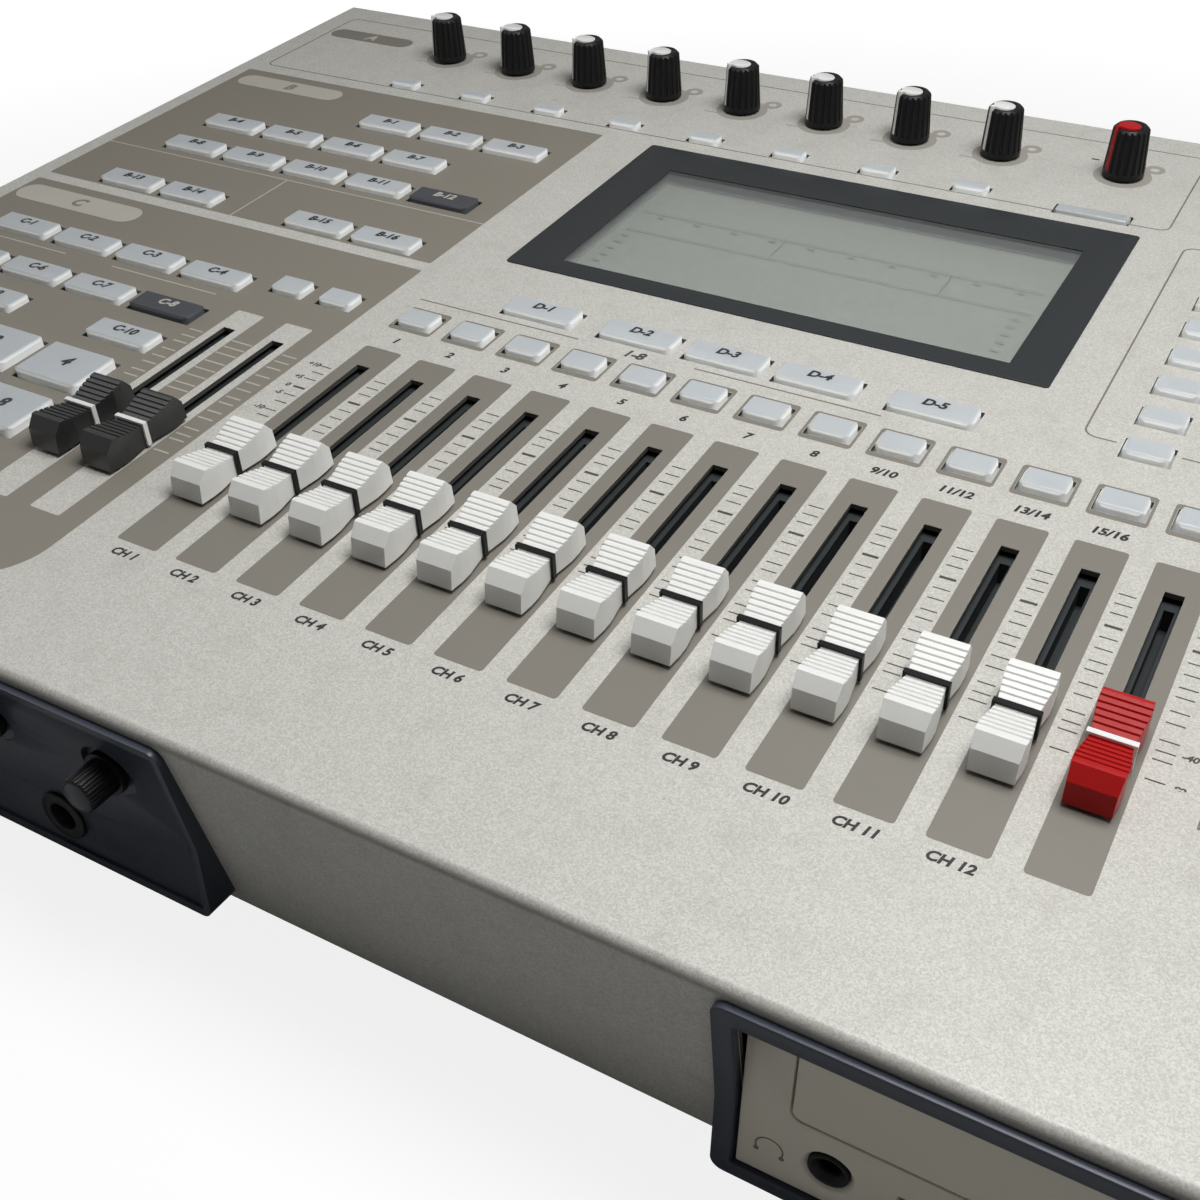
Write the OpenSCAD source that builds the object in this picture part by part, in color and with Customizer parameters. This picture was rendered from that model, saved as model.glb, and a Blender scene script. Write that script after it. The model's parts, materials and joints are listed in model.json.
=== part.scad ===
// Desktop digital multitrack recorder: sloping control panel, faders, knobs, keys and a disc drive.
// Millimetres. +Z is up, the front faces -Y, and the origin is on the table under the middle.
// Panel places are given as [x, v]: x across, v up the slope, both from the panel's middle.

/* [Case] */
// Width over the folded cover
case_w = 480; // [476:1:520]
// Depth of the panel, measured up its slope
panel_d = 339; // [336:1:380]
// Slope of the panel in degrees
panel_tilt = 4.5; // [3.5:0.5:6]
// Height of the panel's front edge above the table
front_h = 60; // [59:0.5:70]
// Lean of the front flange, back from square to the panel, in degrees
front_lean = 8.6; // [7:0.2:10]
// Thickness of the folded sheet
sheet_t = 1.2; // [1:0.1:1.5]
// Outside radius of the front bend
bend_r = 2; // [1.5:0.5:5]
// Outside radius of the side and rear bends
side_r = 3; // [2:0.5:4]
// Depth of the cover's rear lip
lip_h = 14; // [12:1:18]
// Height of the side returns of the base tray
return_h = 14; // [12:1:18]

/* [Feet and screws] */
// Height of the rubber feet
foot_h = 8; // [7:0.5:9]
// Radius of a foot at its top
foot_r = 11; // [9:0.5:13]
// Places of the feet across
foot_x = 205; // [180:5:210]
// Places of the feet from front to back
foot_y = [-126, 142];
// Radius of the cover screws
screw_r = 1.5; // [1.5:0.25:2]
// Radius of a screw head
screw_head_r = 3; // [2.5:0.25:3.5]
// Height of a screw head
screw_head_h = 1.8; // [1.2:0.1:2.4]
// Length of a screw below its head
screw_l = 6; // [5:0.5:8]
// Places of the side screws from front to back
side_screw_y = [-120, -40, 40, 120];
// Places of the rear screws across
rear_screw_x = [-200, -100, 0, 100, 200];

/* [Faders] */
// Number of white track faders
track_count = 12; // [12:1:12]
// Centre of the first track fader across
fader_x = -73.6; // [-74:0.1:-73]
// Distance between faders
fader_pitch = 16; // [15.5:0.1:16.2]
// Resting place of every fader, at the bottom of its travel, from the panel's middle
fader_v = -98.9; // [-101.5:0.2:-95.5]
// Travel of a fader
fader_travel = 45; // [40:1:47]
// Centre of the drum fader across
drum_x = -115.8; // [-116.5:0.1:-115]
// Distance from the drum fader to the bass fader
drum_pitch = 15.7; // [14:0.1:16.5]
// Width of the slot in the panel
slot_w = 3.8; // [3:0.1:4.4]
// Clear length of slot past the lever at each end
slot_end = 2.9; // [2:0.1:4]
// Length of a fader cap
cap_l = 25; // [22:0.5:26]
// Width of a fader cap at its ends
cap_w = 8.9; // [8:0.1:10]
// Width of a fader cap at its waist
waist_w = 7.3; // [6.5:0.1:7.8]
// Height of the two crests above the cap's underside
crest_h = 7.2; // [6.4:0.1:8]
// Height of the waist above the cap's underside
waist_h = 5.2; // [4.6:0.1:6]
// Distance of each crest from the waist
crest_s = 9.1; // [8:0.1:9.6]
// Height of the upright end faces
nose_h = 4.6; // [4:0.1:5]
// Ribs on each half of a cap
rib_count = 6; // [4:1:8]
// Depth of the grooves between ribs
rib_depth = 0.35; // [0.2:0.05:0.5]
// Width of the contrast band
band_w = 1.2; // [1:0.1:2.2]
// Thickness of the contrast band
band_t = 0.65; // [0.3:0.05:0.75]
// Gap between the panel and the cap's underside
cap_gap = 0.9; // [0.6:0.1:1.4]
// Thickness of the metal lever
lever_t = 1; // [0.8:0.1:1.2]
// Length of the metal lever along the travel
lever_l = 5; // [4:0.5:6]

/* [Knobs] */
// Number of input knobs
knob_count = 8; // [8:1:8]
// Centre of the last input knob across
knob_x = 25.9; // [24:0.1:27]
// Distance between input knobs
knob_pitch = 28.2; // [27.5:0.1:28.6]
// Place of the knob row up the slope, from the panel's middle
knob_v = 134.9; // [130.5:0.2:138.5]
// Centre of the record level knob across
level_x = 62; // [60:0.5:64]
// Diameter of a knob at its foot
knob_d = 11.6; // [11:0.1:12.4]
// Diameter of a knob at its top
knob_top_d = 10.2; // [9.6:0.1:10.8]
// Height of a knob
knob_h = 14; // [12:0.5:16]
// Gap between a knob and the face below it
knob_gap = 0.8; // [0.5:0.1:1.2]
// Number of flutes round a knob
flute_count = 18; // [12:1:20]
// Radius of a flute
flute_r = 0.5; // [0.4:0.05:0.6]
// Diameter of the coloured insert in a knob's top
insert_d = 6.4; // [5.5:0.1:8]
// Shift of the insert towards its pointer
insert_shift = 0.7; // [0:0.1:1]
// Rise of the insert above the knob's top, at its pointer
insert_rise = 0.8; // [0.4:0.1:1.2]
// Radius of the knob shafts
shaft_r = 3; // [2.8:0.1:3.2]
// Running clearance round a shaft
shaft_fit = 0.06; // [0.03:0.01:0.09]
// Width of the pointer that runs over a knob's top and down its side
pointer_w = 1.4; // [1:0.1:1.8]
// Depth of the pointer in the knob's side
pointer_t = 0.9; // [0.6:0.1:1.2]
// Turn of the knobs' pointers from straight back, in degrees
pointer_turn = 135; // [60:5:150]

/* [Keys] */
// Height of a key above the panel
key_h = 1.6; // [1.4:0.1:3.6]
// Height of a drum pad above the panel
pad_h = 2.2; // [1.6:0.1:3.6]
// Travel of a key
key_travel = 0.8; // [0.5:0.1:1]
// Clearance between a key and its hole
key_fit = 0.4; // [0.3:0.05:0.5]
// Width of a function key
key_w = 20.5; // [19:0.1:21]
// Length of a function key up the slope
key_l = 8; // [7:0.1:9]
// Distance between function keys across
key_pitch = 23.6; // [23.2:0.1:24]
// Width of a small key
small_w = 10.3; // [9.5:0.1:11]
// Length of a small key up the slope
small_l = 7.3; // [6.5:0.1:8]
// Length of an input key up the slope
input_l = 5.2; // [4.6:0.1:6]
// Width and length of a drum pad
pad_size = [20.5, 15];
// Distances between drum pads across and up the slope
pad_pitch = [24.6, 20.5];
// Width and length of a transport key
transport_size = [17.5, 13];
// Distance between transport keys
transport_pitch = 20; // [19.8:0.1:20.4]
// Corner radius of the keys
key_r = 2; // [0.8:0.1:2.4]
// Bevel round the top of a key
key_bevel = 0.7; // [0.4:0.1:1]
// First column of the effect keys across
effect_x = -202.4; // [-203:0.2:-200]
// Rows of the effect keys, from the back; places are from the panel's middle
effect_rows = [76.1, 56, 37.1, 8.7];
// First column of the rhythm keys across
rhythm_x = -208.4; // [-209:0.2:-206]
// Rows of the rhythm keys, from the back
rhythm_rows = [-28.3, -47.7, -63.5];
// Place of the back right drum pad
pad_at = [-138.9, -82.4];
// Row of the track keys
track_v = -24.5; // [-26.5:0.2:-22.5]
// Places of the two mute keys across, in the row of the track keys
mute_x = [-114.4, -98.8];
// Row of the input keys
input_v = 108.3; // [106.5:0.2:109.5]
// Place of the wide record key
wide_at = [61, 106.3];
// Middle screen key
screen_at = [4.2, -7.5];
// Distance from the second screen key to the first, and from the fourth to the fifth
screen_step = 28; // [27:0.2:30]
// Lowest parameter key
param_at = [102.4, -3.3];
// Distance between parameter keys
param_pitch = 14.2; // [13:0.1:14.6]
// Number of parameter keys in the column
param_count = 7; // [5:1:7]
// Middle of the cursor keys
cursor_at = [146, 22.5];
// Reach of the cursor keys across and up the slope
cursor_step = [15, 12];
// Left key of the enter and exit pair
enter_at = [134.2, 68.5];
// First locate key in the row nearer the back
locate_at = [150, -24.5];
// Distance between the two rows of locate keys
locate_step = 23; // [20:0.5:25]
// First transport key
transport_at = [144, -99.5];

/* [Jog dial] */
// Centre of the jog dial
dial_at = [196, 44.5];
// Radius of the jog dial
dial_r = 24; // [20:0.5:25]
// Height of the jog dial above its gap
dial_h = 8; // [6:0.5:10]
// Radius of the finger dimple
dimple_r = 7; // [6:0.5:8]

/* [Display] */
// Low corner of the display bezel
bezel_lo = [-71.6, 13];
// High corner of the display bezel
bezel_hi = [76.1, 98];
// Low corner of the viewing window
window_lo = [-58, 19.8];
// High corner of the viewing window
window_hi = [64.8, 83.5];
// Thickness of the bezel plate on the panel
bezel_t = 0.4; // [0.3:0.1:1.2]
// Corner radius of the bezel plate
bezel_r = 1; // [1:0.5:5]
// Border of the window pane under the bezel
pane_border = 4; // [3:0.5:5]
// Thickness of the display module
lcd_t = 4.5; // [3:0.5:5]

/* [Front mouldings] */
// Drop from the panel's edge to the top of a moulding, along the flange
frame_top = 2.5; // [2:0.1:4]
// Stand of a moulding off the flange at its top
frame_proud = 1.6; // [1.4:0.1:2.2]
// Drop to the kink of a moulding, along the flange
kink_d = 31; // [28:0.5:33]
// Stand of a moulding off the flange at its kink
kink_proud = 3.2; // [3:0.1:3.8]
// Height of a moulding's lower edge above the underside of the case
frame_rise = 2; // [1.5:0.5:3]
// Left and right end of the jack bezel
jack_bezel_x = [-122, -30];
// Width of the rim round the jack bezel's face
rim_w = 2; // [1.5:0.1:2.5]
// Radius of the mouldings' corners, seen from the front
frame_r = 2.5; // [2:0.5:5]
// Depth of the jack bezel's face inside the rim
rim_depth = 0.7; // [0.4:0.1:0.8]
// Width of the seat that the jack bezel has on the flange
seat_w = 4; // [3:0.5:5]
// Wall left in the jack bezel behind knobs and jacks
jack_wall = 1.6; // [1.4:0.1:1.8]
// Front knobs across
front_knob_x = [-47.5, -80];
// Front knobs below the panel's edge
front_knob_drop = 16.75; // [16.25:0.25:17.5]
// Height of a front knob
front_knob_h = 8.5; // [8:0.25:10]
// Diameter of a front knob's barrel
front_knob_d = 7.8; // [7.6:0.1:8.4]
// Diameter of a front knob's foot
front_foot_d = 9.6; // [9.2:0.1:10.4]
// Radius of the upright round seat sunk into the jack bezel under a front knob
knob_seat_r = 6.5; // [6:0.1:7]
// Grooves round a front knob
knurl_count = 30; // [20:1:36]
// Radius of a groove
knurl_r = 0.25; // [0.2:0.05:0.3]
// Front jacks across
front_jack_x = [-68, -98];
// Front jacks below the panel's edge
front_jack_drop = 40; // [39.5:0.25:41]

/* [Jacks] */
// Bore radius of a quarter inch jack
jack_bore_r = 3.25; // [3.2:0.05:3.4]
// Bore depth of a quarter inch jack
jack_bore_l = 24; // [20:1:28]
// Radius of a jack's nose, where it goes through its panel
jack_nose_r = 4.6; // [4.4:0.1:5]
// Radius of a jack's outer ring
jack_ring_r = 5.8; // [5.4:0.1:6.4]
// Thickness of a jack's outer ring
jack_ring_t = 0.8; // [0.6:0.1:1.2]
// Radius of a jack's body
jack_body_r = 5.6; // [5.4:0.1:6]
// Bore radius of the miniature phones jack
mini_bore_r = 1.8; // [1.75:0.05:1.9]
// Radius of the miniature phones jack's barrel
mini_barrel_r = 3.6; // [3.2:0.1:4]
// Length of the miniature phones jack
mini_l = 14; // [12:0.5:16]
// Depth of the flare at the mini jack's mouth
mini_mouth = 1.2; // [0.8:0.1:1.5]
// Depth of the countersink round the mini jack
mini_sink = 1; // [0.6:0.1:1.4]

/* [Disc drive] */
// Left and right end of the drive frame
drive_frame_x = [79.5, 237.5];
// Width of the frame's bars at the sides
frame_bar = 3.7; // [3:0.1:4.5]
// Drop from the panel's edge to the frame's window
window_drop = 7; // [6.5:0.1:8]
// Gap beside the drive bezel in the frame's window
bezel_side = 0.6; // [0.4:0.1:3]
// Height of the drive bezel
drive_bezel_h = 41.5; // [41:0.1:42]
// Height of the drive's metal case
drive_case_h = 40; // [39:0.1:40.5]
// Length of the drive's metal case
drive_case_l = 183; // [175:1:190]
// Thickness of the drive bezel
drive_bezel_t = 5; // [4:0.5:6]
// Set back of the drive bezel from the frame's lower face
drive_recess = 1; // [0.6:0.1:1.5]
// Width of the tray door
door_w = 130; // [128:0.5:132]
// Height of the tray door
door_h = 20.8; // [19:0.2:22]
// Drop from the bezel's top to the tray door
door_drop = 3.2; // [2.6:0.1:4]
// Distance from the bezel's left edge to the tray door
door_side = 8.6; // [8.2:0.1:10.8]
// Clearance round the tray door and the buttons
door_fit = 0.4; // [0.3:0.05:0.5]
// Width of the disc tray
tray_w = 124; // [123:0.5:126]
// Length of the disc tray behind its door
tray_l = 148; // [140:1:150]
// Thickness of the disc tray
tray_t = 5; // [4:0.5:6]
// Travel of the disc tray
tray_travel = 130; // [120:1:135]
// Radius of the disc recess
disc_r = 60.5; // [60.2:0.1:61]
// Distance from the tray's door to the disc's dish
disc_edge = 6; // [5:0.5:8]
// Height of the drive's jack, wheel and button above its underside
drive_row_h = 8; // [7.5:0.1:9]
// Places of the drive's jack, wheel and button from the bezel's left edge
drive_row_x = [15.7, 35.8, 122.8];
// Radius of the thumb wheel
wheel_r = 8; // [7.5:0.1:8.5]
// Thickness of the thumb wheel
wheel_t = 4; // [3:0.2:4.4]
// Stand of the thumb wheel off the bezel
wheel_proud = 2; // [1.5:0.1:2.5]
// Radius of the thumb wheel's pin
wheel_pin_r = 1.2; // [1:0.1:1.5]
// Width and height of the eject button
eject_size = [10, 5];
// Travel of the eject button
eject_travel = 1.5; // [1:0.1:2]

/* [Rear] */
// Height of the rear sockets above the table
rear_z = 55; // [50:0.5:58]
// Number of outputs beside the inputs
output_count = 3; // [3:1:3]
// Places of the two MIDI sockets across
midi_x = [142, 168];
// Radius of a MIDI socket's nose
midi_r = 8; // [7.5:0.1:8.5]
// Place of the power inlet across
inlet_x = 194; // [192:1:198]
// Bore radius of the power inlet
inlet_bore_r = 3.2; // [3:0.1:3.4]
// Wall of the power inlet's nose
inlet_wall = 1; // [0.8:0.1:1.2]
// Place of the power button across
power_x = 218; // [214:1:220]
// Width and height of the power button
power_size = [12, 8];
// Stand of the power button off the rear panel
power_proud = 2.8; // [2.2:0.1:3]
// Travel of the power button
power_travel = 2; // [1:0.1:2.2]

/* [Inside] */
// Clearance of a seated piece that is not fixed face to face
seat_gap = 0.3; // [0.2:0.05:0.4]
// Space between the panel and the pot bodies
pot_drop = 1.3; // [1.1:0.1:1.6]
// Height of the pot bodies
pot_h = 6; // [5.5:0.1:6.2]
// Width of a slide pot
slide_w = 8; // [7:0.1:9]
// Length of a slide pot past the travel
slide_end = 12; // [10:0.5:14]
// Side of a rotary pot
rotary_w = 11; // [10:0.1:12]
// Thickness of the circuit boards
board_t = 1.6; // [1.4:0.1:1.8]
// Margins of the control board from the panel's front and rear edges
board_v = [50, 11];
// Margin of the control board at the sides
board_side = 8; // [7:0.5:12]
// Radius of the studs that carry the control board
stud_r = 2.5; // [2:0.1:3]
// Height of the key switches on the control board
switch_h = 1.3; // [1.1:0.1:1.5]
// Height of the bosses under the boards
boss_h = 4; // [3:0.5:5]
// Radius of the bosses
boss_r = 4; // [3:0.5:5]
// Low corner of the main board on the tray
main_lo = [-228, -108];
// High corner of the main board on the tray
main_hi = [-76, 128];
// Low corner of the hard disk on the tray
disk_lo = [-60, -60];
// Width, length and height of the hard disk
disk_size = [101.6, 147, 26.1];

/* [Hidden] */
$fn = 48;
// A cut runs past the face that it leaves by this much
past = 1;
// Gap that keeps two parts of one assembly separate solids
part_gap = 0.05;
// Clearance of the cover over the tray and the rear panel
cover_fit = 0.2;
// Clearance of a screw in its hole
screw_fit = 0.2;

// Lean of the front flange from upright
lean = panel_tilt + front_lean;
// Depth of the case on the table
case_d = panel_d * cos(panel_tilt);
// Underside of the case, measured from the panel's front edge
case_z = foot_h - front_h;
// Top of the tray's floor, measured the same way
floor_z = case_z + sheet_t;

// A point of the flange frame, y inwards and z upwards along the flange, in the case frame
function on_flange(y, z) = [y * cos(lean) - z * sin(lean), y * sin(lean) + z * cos(lean)];
// Front outline of a moulding: top, kink and foot
frame_p0 = on_flange(-frame_proud, -frame_top);
frame_p1 = on_flange(-kink_proud, -kink_d);
frame_foot = case_z + frame_rise;
// Lean of a moulding's upper face from upright
face_lean = atan2(frame_p1[0] - frame_p0[0], frame_p0[1] - frame_p1[1]);
// Upper face of a moulding at a height below the panel's edge
function face_y(z) = frame_p0[0] + (frame_p0[1] - z) * tan(face_lean);
// The jack bezel's face lies inside its rim, and a knob's seat meets it at the seat's lower edge
front_knob_y = face_y(-front_knob_drop - knob_seat_r) + rim_depth;
front_jack_y = frame_p1[0] + rim_depth;

// The foremost and the rearmost points set the origin at the middle of the depth
knob_soft = 0.8;
front_soft = 0.4;
knob_skirt = 1.6;
insert_t = 0.95;
knob_rim = knob_top_d / 2 - knob_soft;
front_rim = front_knob_d / 2 - front_soft;
front_reach = knob_gap + front_knob_h - front_knob_y;
panel_y = (front_reach - case_d - screw_head_h) / 2;

// Depths under the panel
pot_top = -sheet_t - pot_drop;
board_top = pot_top - pot_h;
stem_end = board_top + switch_h + key_travel + seat_gap;
key_flange = 1;
flange_t = 1;
flange_top = -sheet_t - seat_gap;
slide_l = fader_travel + 2 * slide_end;
slide_v = fader_v + fader_travel / 2;
slot_l = fader_travel + lever_l + 2 * slot_end;
lever_slot = 5;
pocket_h = 3;

// Knob and fader places
track_x = [for (i = [0:track_count]) fader_x + i * fader_pitch];
rhythm_fader_x = [drum_x, drum_x + drum_pitch];
fader_xs = concat(track_x, rhythm_fader_x);
input_x = [for (i = [1:knob_count]) knob_x - (knob_count - i) * knob_pitch];
knob_xs = concat(input_x, [level_x]);

// Key places: every group is a list of [x, v]
function row(x, v, columns) = [for (i = columns) [x + i * key_pitch, v]];
effect_spots = concat(
    row(effect_x, effect_rows[0], [2:4]),
    row(effect_x, effect_rows[1], [0:3]),
    row(effect_x, effect_rows[2], [0:4]),
    row(effect_x, effect_rows[3], [0, 1, 3, 4])
);
rhythm_spots = concat(
    row(rhythm_x, rhythm_rows[0], [0:3]),
    row(rhythm_x, rhythm_rows[1], [0:3]),
    row(rhythm_x, rhythm_rows[2], [1, 3])
);
pad_spots = [for (i = [0:3], j = [0:2]) pad_at - [i * pad_pitch[0], j * pad_pitch[1]]];
track_spots = [for (x = concat(track_x, mute_x)) [x, track_v]];
input_spots = [for (x = input_x) [x, input_v]];
screen_ends = [for (s = [-1, 1]) screen_at + s * [key_pitch + screen_step, 0]];
screen_spots = concat(row(screen_at[0], screen_at[1], [-1:1]), screen_ends);
param_spots = concat(
    [for (i = [0:param_count - 1]) param_at + [0, i * param_pitch]],
    [for (s = [-1, 1]) cursor_at + [s * cursor_step[0], 0]],
    [for (s = [-1, 1]) cursor_at + [0, s * cursor_step[1]]]
);
locate_spots = concat(
    row(enter_at[0], enter_at[1], [0:1]),
    row(locate_at[0], locate_at[1], [0:3]),
    row(locate_at[0], locate_at[1] - locate_step, [0:3])
);
transport_spots = [for (i = [0:4]) transport_at + [i * transport_pitch, 0]];
// Groups of equal keys: places, width and length
key_groups = [
    [effect_spots, key_w, key_l],
    [rhythm_spots, key_w, key_l],
    [pad_spots, pad_size[0], pad_size[1]],
    [track_spots, small_w, small_l],
    [input_spots, small_w, input_l],
    [[wide_at], key_w, input_l],
    [screen_spots, key_w, key_l],
    [param_spots, small_w, small_l],
    [locate_spots, key_w, key_l],
    [transport_spots, transport_size[0], transport_size[1]]
];
wide_h = key_h / 2;

// Front and rear edge of the control board, from the panel's middle
board_lo = board_v[0] - panel_d / 2;
board_hi = panel_d / 2 - board_v[1];

// Studs under the panel, clear of the controls
stud_x = case_w / 2 - board_side - stud_r - seat_gap;
stud_rear = board_hi - stud_r - seat_gap;
stud_spots = [
    [-stud_x, -59.5], [-stud_x, 92.5], [stud_x, -69.5], [-84, -9.5], [84, -9.5], [0, 6.5],
    [input_x[3] + knob_pitch / 2, stud_rear], [level_x + knob_pitch / 2, stud_rear], [stud_x, stud_rear]
];

// Disc drive: it sits just under the control board
drive_top = board_v[0] * sin(panel_tilt) + (board_top - board_t) * cos(panel_tilt) - seat_gap;
drive_foot = drive_top - drive_case_h;
drive_x = [drive_frame_x[0] + frame_bar + bezel_side, drive_frame_x[1] - frame_bar - bezel_side];
drive_front = frame_p1[0] + drive_recess;
drive_back = drive_front + drive_bezel_t;
door_x = drive_x[0] + door_side;
door_top = drive_foot + drive_bezel_h - door_drop;
door_foot = door_top - door_h;
door_r = 2;
tray_x = door_x + (door_w - tray_w) / 2;
tray_foot = door_foot + door_h / 3;
drive_case_side = 1;
row_z = drive_foot + drive_row_h;
row_x = [for (x = drive_row_x) drive_x[0] + x];
button_flange = 1;
wheel_y = drive_front + wheel_r - wheel_proud;
wheel_fit = 0.3;
pocket_l = mini_l;

// Rear panel: just inside the cover's lip
rear_y = case_d - sheet_t - cover_fit;
rear_top = rear_y * tan(panel_tilt) - sheet_t / cos(panel_tilt) - side_r;
rear_row = rear_z - front_h;
rear_jack_x = concat(input_x, [for (i = [1:output_count]) knob_x + i * knob_pitch]);
rear_lip = case_d * tan(panel_tilt) - lip_h;
inlet_nose_r = inlet_bore_r + inlet_wall;
rear_body_l = 12;
tray_front = -case_z * tan(lean) + (sheet_t + seat_gap) / cos(lean);

// Tones
silver = "#c3c0b8";
black = "#1b1c1f";
white = "#eceef0";
graphite = "#3d3e41";
scarlet = "#b9211f";
cream = "#d3cbb8";
steel = "#a7a9ab";
green = "#2f6a44";

// Frames and shapes that repeat

// The case frame starts at the panel's front edge
module case_frame() {
    translate([0, panel_y, front_h]) children();
}

// The panel frame starts at the panel's middle: x across, y up the slope, z out of the panel
module panel_frame() {
    case_frame() rotate([panel_tilt, 0, 0]) translate([0, panel_d / 2, 0]) children();
}

// Stands a front knob on its upright seat, z outwards
module knob_frame(x) {
    front_socket(x, front_knob_y, -front_knob_drop) children();
}

// Stands a socket on an upright face, z outwards to the front or to the rear
module front_socket(x, y, z) {
    case_frame() translate([x, y, z]) rotate([90, 0, 0]) children();
}
module rear_socket(x) {
    case_frame() translate([x, rear_y, rear_row]) rotate([-90, 0, 0]) children();
}

// Draws an outline of the case's section along x, between two places
module along_x(x0, x1) {
    translate([x0, 0, 0]) rotate([90, 0, 90]) linear_extrude(x1 - x0) children();
}

// Box between two corners
module box(lo, hi) {
    translate(lo) cube(hi - lo);
}

// Box centred on a place of the panel, between two heights
module tile(at, w, l, z0, z1) {
    translate([at[0] - w / 2, at[1] - l / 2, z0]) cube([w, l, z1 - z0]);
}

module round_rect(w, l, r) {
    square([w - 2 * r, l], center = true);
    square([w, l - 2 * r], center = true);
    for (x = [-1, 1], y = [-1, 1]) translate([x * (w / 2 - r), y * (l / 2 - r)]) circle(r);
}

// Round-cornered plate between two corners of the panel and two heights
module round_plate(lo, hi, r, z0, z1) {
    size = hi - lo;
    translate([(lo[0] + hi[0]) / 2, (lo[1] + hi[1]) / 2, z0])
        linear_extrude(z1 - z0) round_rect(size[0], size[1], r);
}

// Cover and case

// Section of the cover, inset from its outside
module cover_section(inset, foot) {
    front_c = bend_r / cos(front_lean) * [sin(lean) + cos(panel_tilt), sin(panel_tilt) - cos(lean)];
    rear_cy = case_d - side_r;
    rear_c = [rear_cy, (rear_cy * sin(panel_tilt) - side_r) / cos(panel_tilt)];
    out = [-sin(panel_tilt), cos(panel_tilt)];
    front_r = bend_r - inset;
    rear_r = side_r - inset;
    polygon([
        [(inset - foot * sin(lean)) / cos(lean), foot],
        front_c - front_r * [cos(lean), sin(lean)],
        front_c + front_r * out,
        rear_c + rear_r * out,
        rear_c + [rear_r, 0],
        [case_d - inset, foot]
    ]);
    translate(front_c) circle(front_r);
    translate(rear_c) circle(rear_r);
}

// Section across the panel, with the side bends
module cross_section(inset) {
    r = side_r - inset;
    half = case_w / 2 - inset;
    translate([-half, -case_w]) square([2 * half, case_w - side_r]);
    translate([r - half, -case_w]) square([2 * (half - r), case_w - inset]);
    for (s = [-1, 1]) translate([s * (half - r), -side_r]) circle(r);
}

module cover_block(inset, foot) {
    intersection() {
        case_frame() along_x(-case_w / 2, case_w / 2) cover_section(inset, foot);
        panel_frame() translate([0, 2 * panel_d, 0]) rotate([90, 0, 0])
            linear_extrude(3 * panel_d) cross_section(inset);
    }
}

// Cuts through the panel for faders, knobs, keys, dial and display
module panel_cuts() {
    under = -sheet_t - past;
    for (x = fader_xs) tile([x, slide_v], slot_w, slot_l, under, past);
    for (x = knob_xs) translate([x, knob_v, under]) cylinder(r = shaft_r + past, h = sheet_t + 2 * past);
    translate([dial_at[0], dial_at[1], under]) cylinder(r = shaft_r + past, h = sheet_t + 2 * past);
    for (group = key_groups, at = group[0])
        tile(at, group[1] + 2 * key_fit, group[2] + 2 * key_fit, under, past);
    border = (pane_border + seat_gap) * [1, 1];
    lo = window_lo - border;
    hi = window_hi + border;
    box([lo[0], lo[1], under], [hi[0], hi[1], past]);
}

// Cuts through the front flange for the jack bezel and the drive
module flange_cuts() {
    deep = 2 * sheet_t - case_z * tan(lean);
    box([jack_bezel_x[0] + seat_w, -past, -front_jack_drop - jack_body_r - past],
        [jack_bezel_x[1] - seat_w, deep, -frame_top - seat_w]);
    drive_window(deep);
}

// Window that the drive bezel shows through
module drive_window(deep) {
    box([drive_frame_x[0] + frame_bar, -2 * kink_proud, drive_foot - seat_gap],
        [drive_frame_x[1] - frame_bar, deep, -window_drop]);
}

module side_screws() {
    z = foot_h + return_h / 2;
    for (y = side_screw_y, s = [-1, 1]) translate([s * case_w / 2, y, z]) rotate([0, s * 90, 0]) children();
}

module rear_screws() {
    z = rear_lip + lip_h / 2 - side_r / 2;
    for (x = rear_screw_x) case_frame() translate([x, case_d, z]) rotate([-90, 0, 0]) children();
}

module screw_hole() {
    translate([0, 0, -screw_l - past]) cylinder(r = screw_r + screw_fit, h = screw_l + 2 * past);
}

module screw() {
    translate([0, 0, -screw_l]) cylinder(r = screw_r, h = screw_l + screw_head_h / 2);
    cylinder(r1 = screw_head_r, r2 = screw_head_r * 0.7, h = screw_head_h);
}

module top_cover() {
    color(silver) {
        difference() {
            cover_block(0, case_z);
            cover_block(sheet_t, case_z - past);
            panel_frame() panel_cuts();
            case_frame() flange_cuts();
            case_frame() box([sheet_t - case_w / 2, case_d - 2 * side_r, case_z - past],
                             [case_w / 2 - sheet_t, case_d + past, rear_lip]);
            side_screws() screw_hole();
            rear_screws() screw_hole();
        }
        panel_frame() for (at = stud_spots)
            translate([at[0], at[1], board_top]) cylinder(r = stud_r, h = -board_top - sheet_t / 2);
    }
}

module base_tray() {
    half = case_w / 2 - sheet_t - cover_fit;
    color(black) difference() {
        union() {
            case_frame() {
                box([-half, tray_front, case_z], [half, rear_y, floor_z]);
                for (s = [0, 1]) mirror([s, 0, 0])
                    box([half - sheet_t, tray_front + return_h, case_z],
                        [half, rear_y - sheet_t, case_z + return_h]);
            }
            tray_bosses();
        }
        side_screws() screw_hole();
    }
}

// Bosses pressed up from the tray's floor, under the corners of what they carry
module tray_bosses() {
    z0 = foot_h + sheet_t / 2;
    z1 = foot_h + sheet_t + boss_h;
    main_size = main_hi - main_lo;
    corner_bosses(main_lo, main_size, z0, z1);
    corner_bosses(disk_lo, [disk_size[0], disk_size[1]], z0, z1);
    drive_size = [drive_x[1] - drive_x[0], drive_case_l];
    corner_bosses([drive_x[0], panel_y + drive_back], drive_size, z0, front_h + drive_foot);
}

module corner_bosses(lo, size, z0, z1) {
    inset = 2 * boss_r;
    for (x = [inset, size[0] - inset], y = [inset, size[1] - inset])
        translate([lo[0] + x, lo[1] + y, z0]) cylinder(r = boss_r, h = z1 - z0);
}

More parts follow.
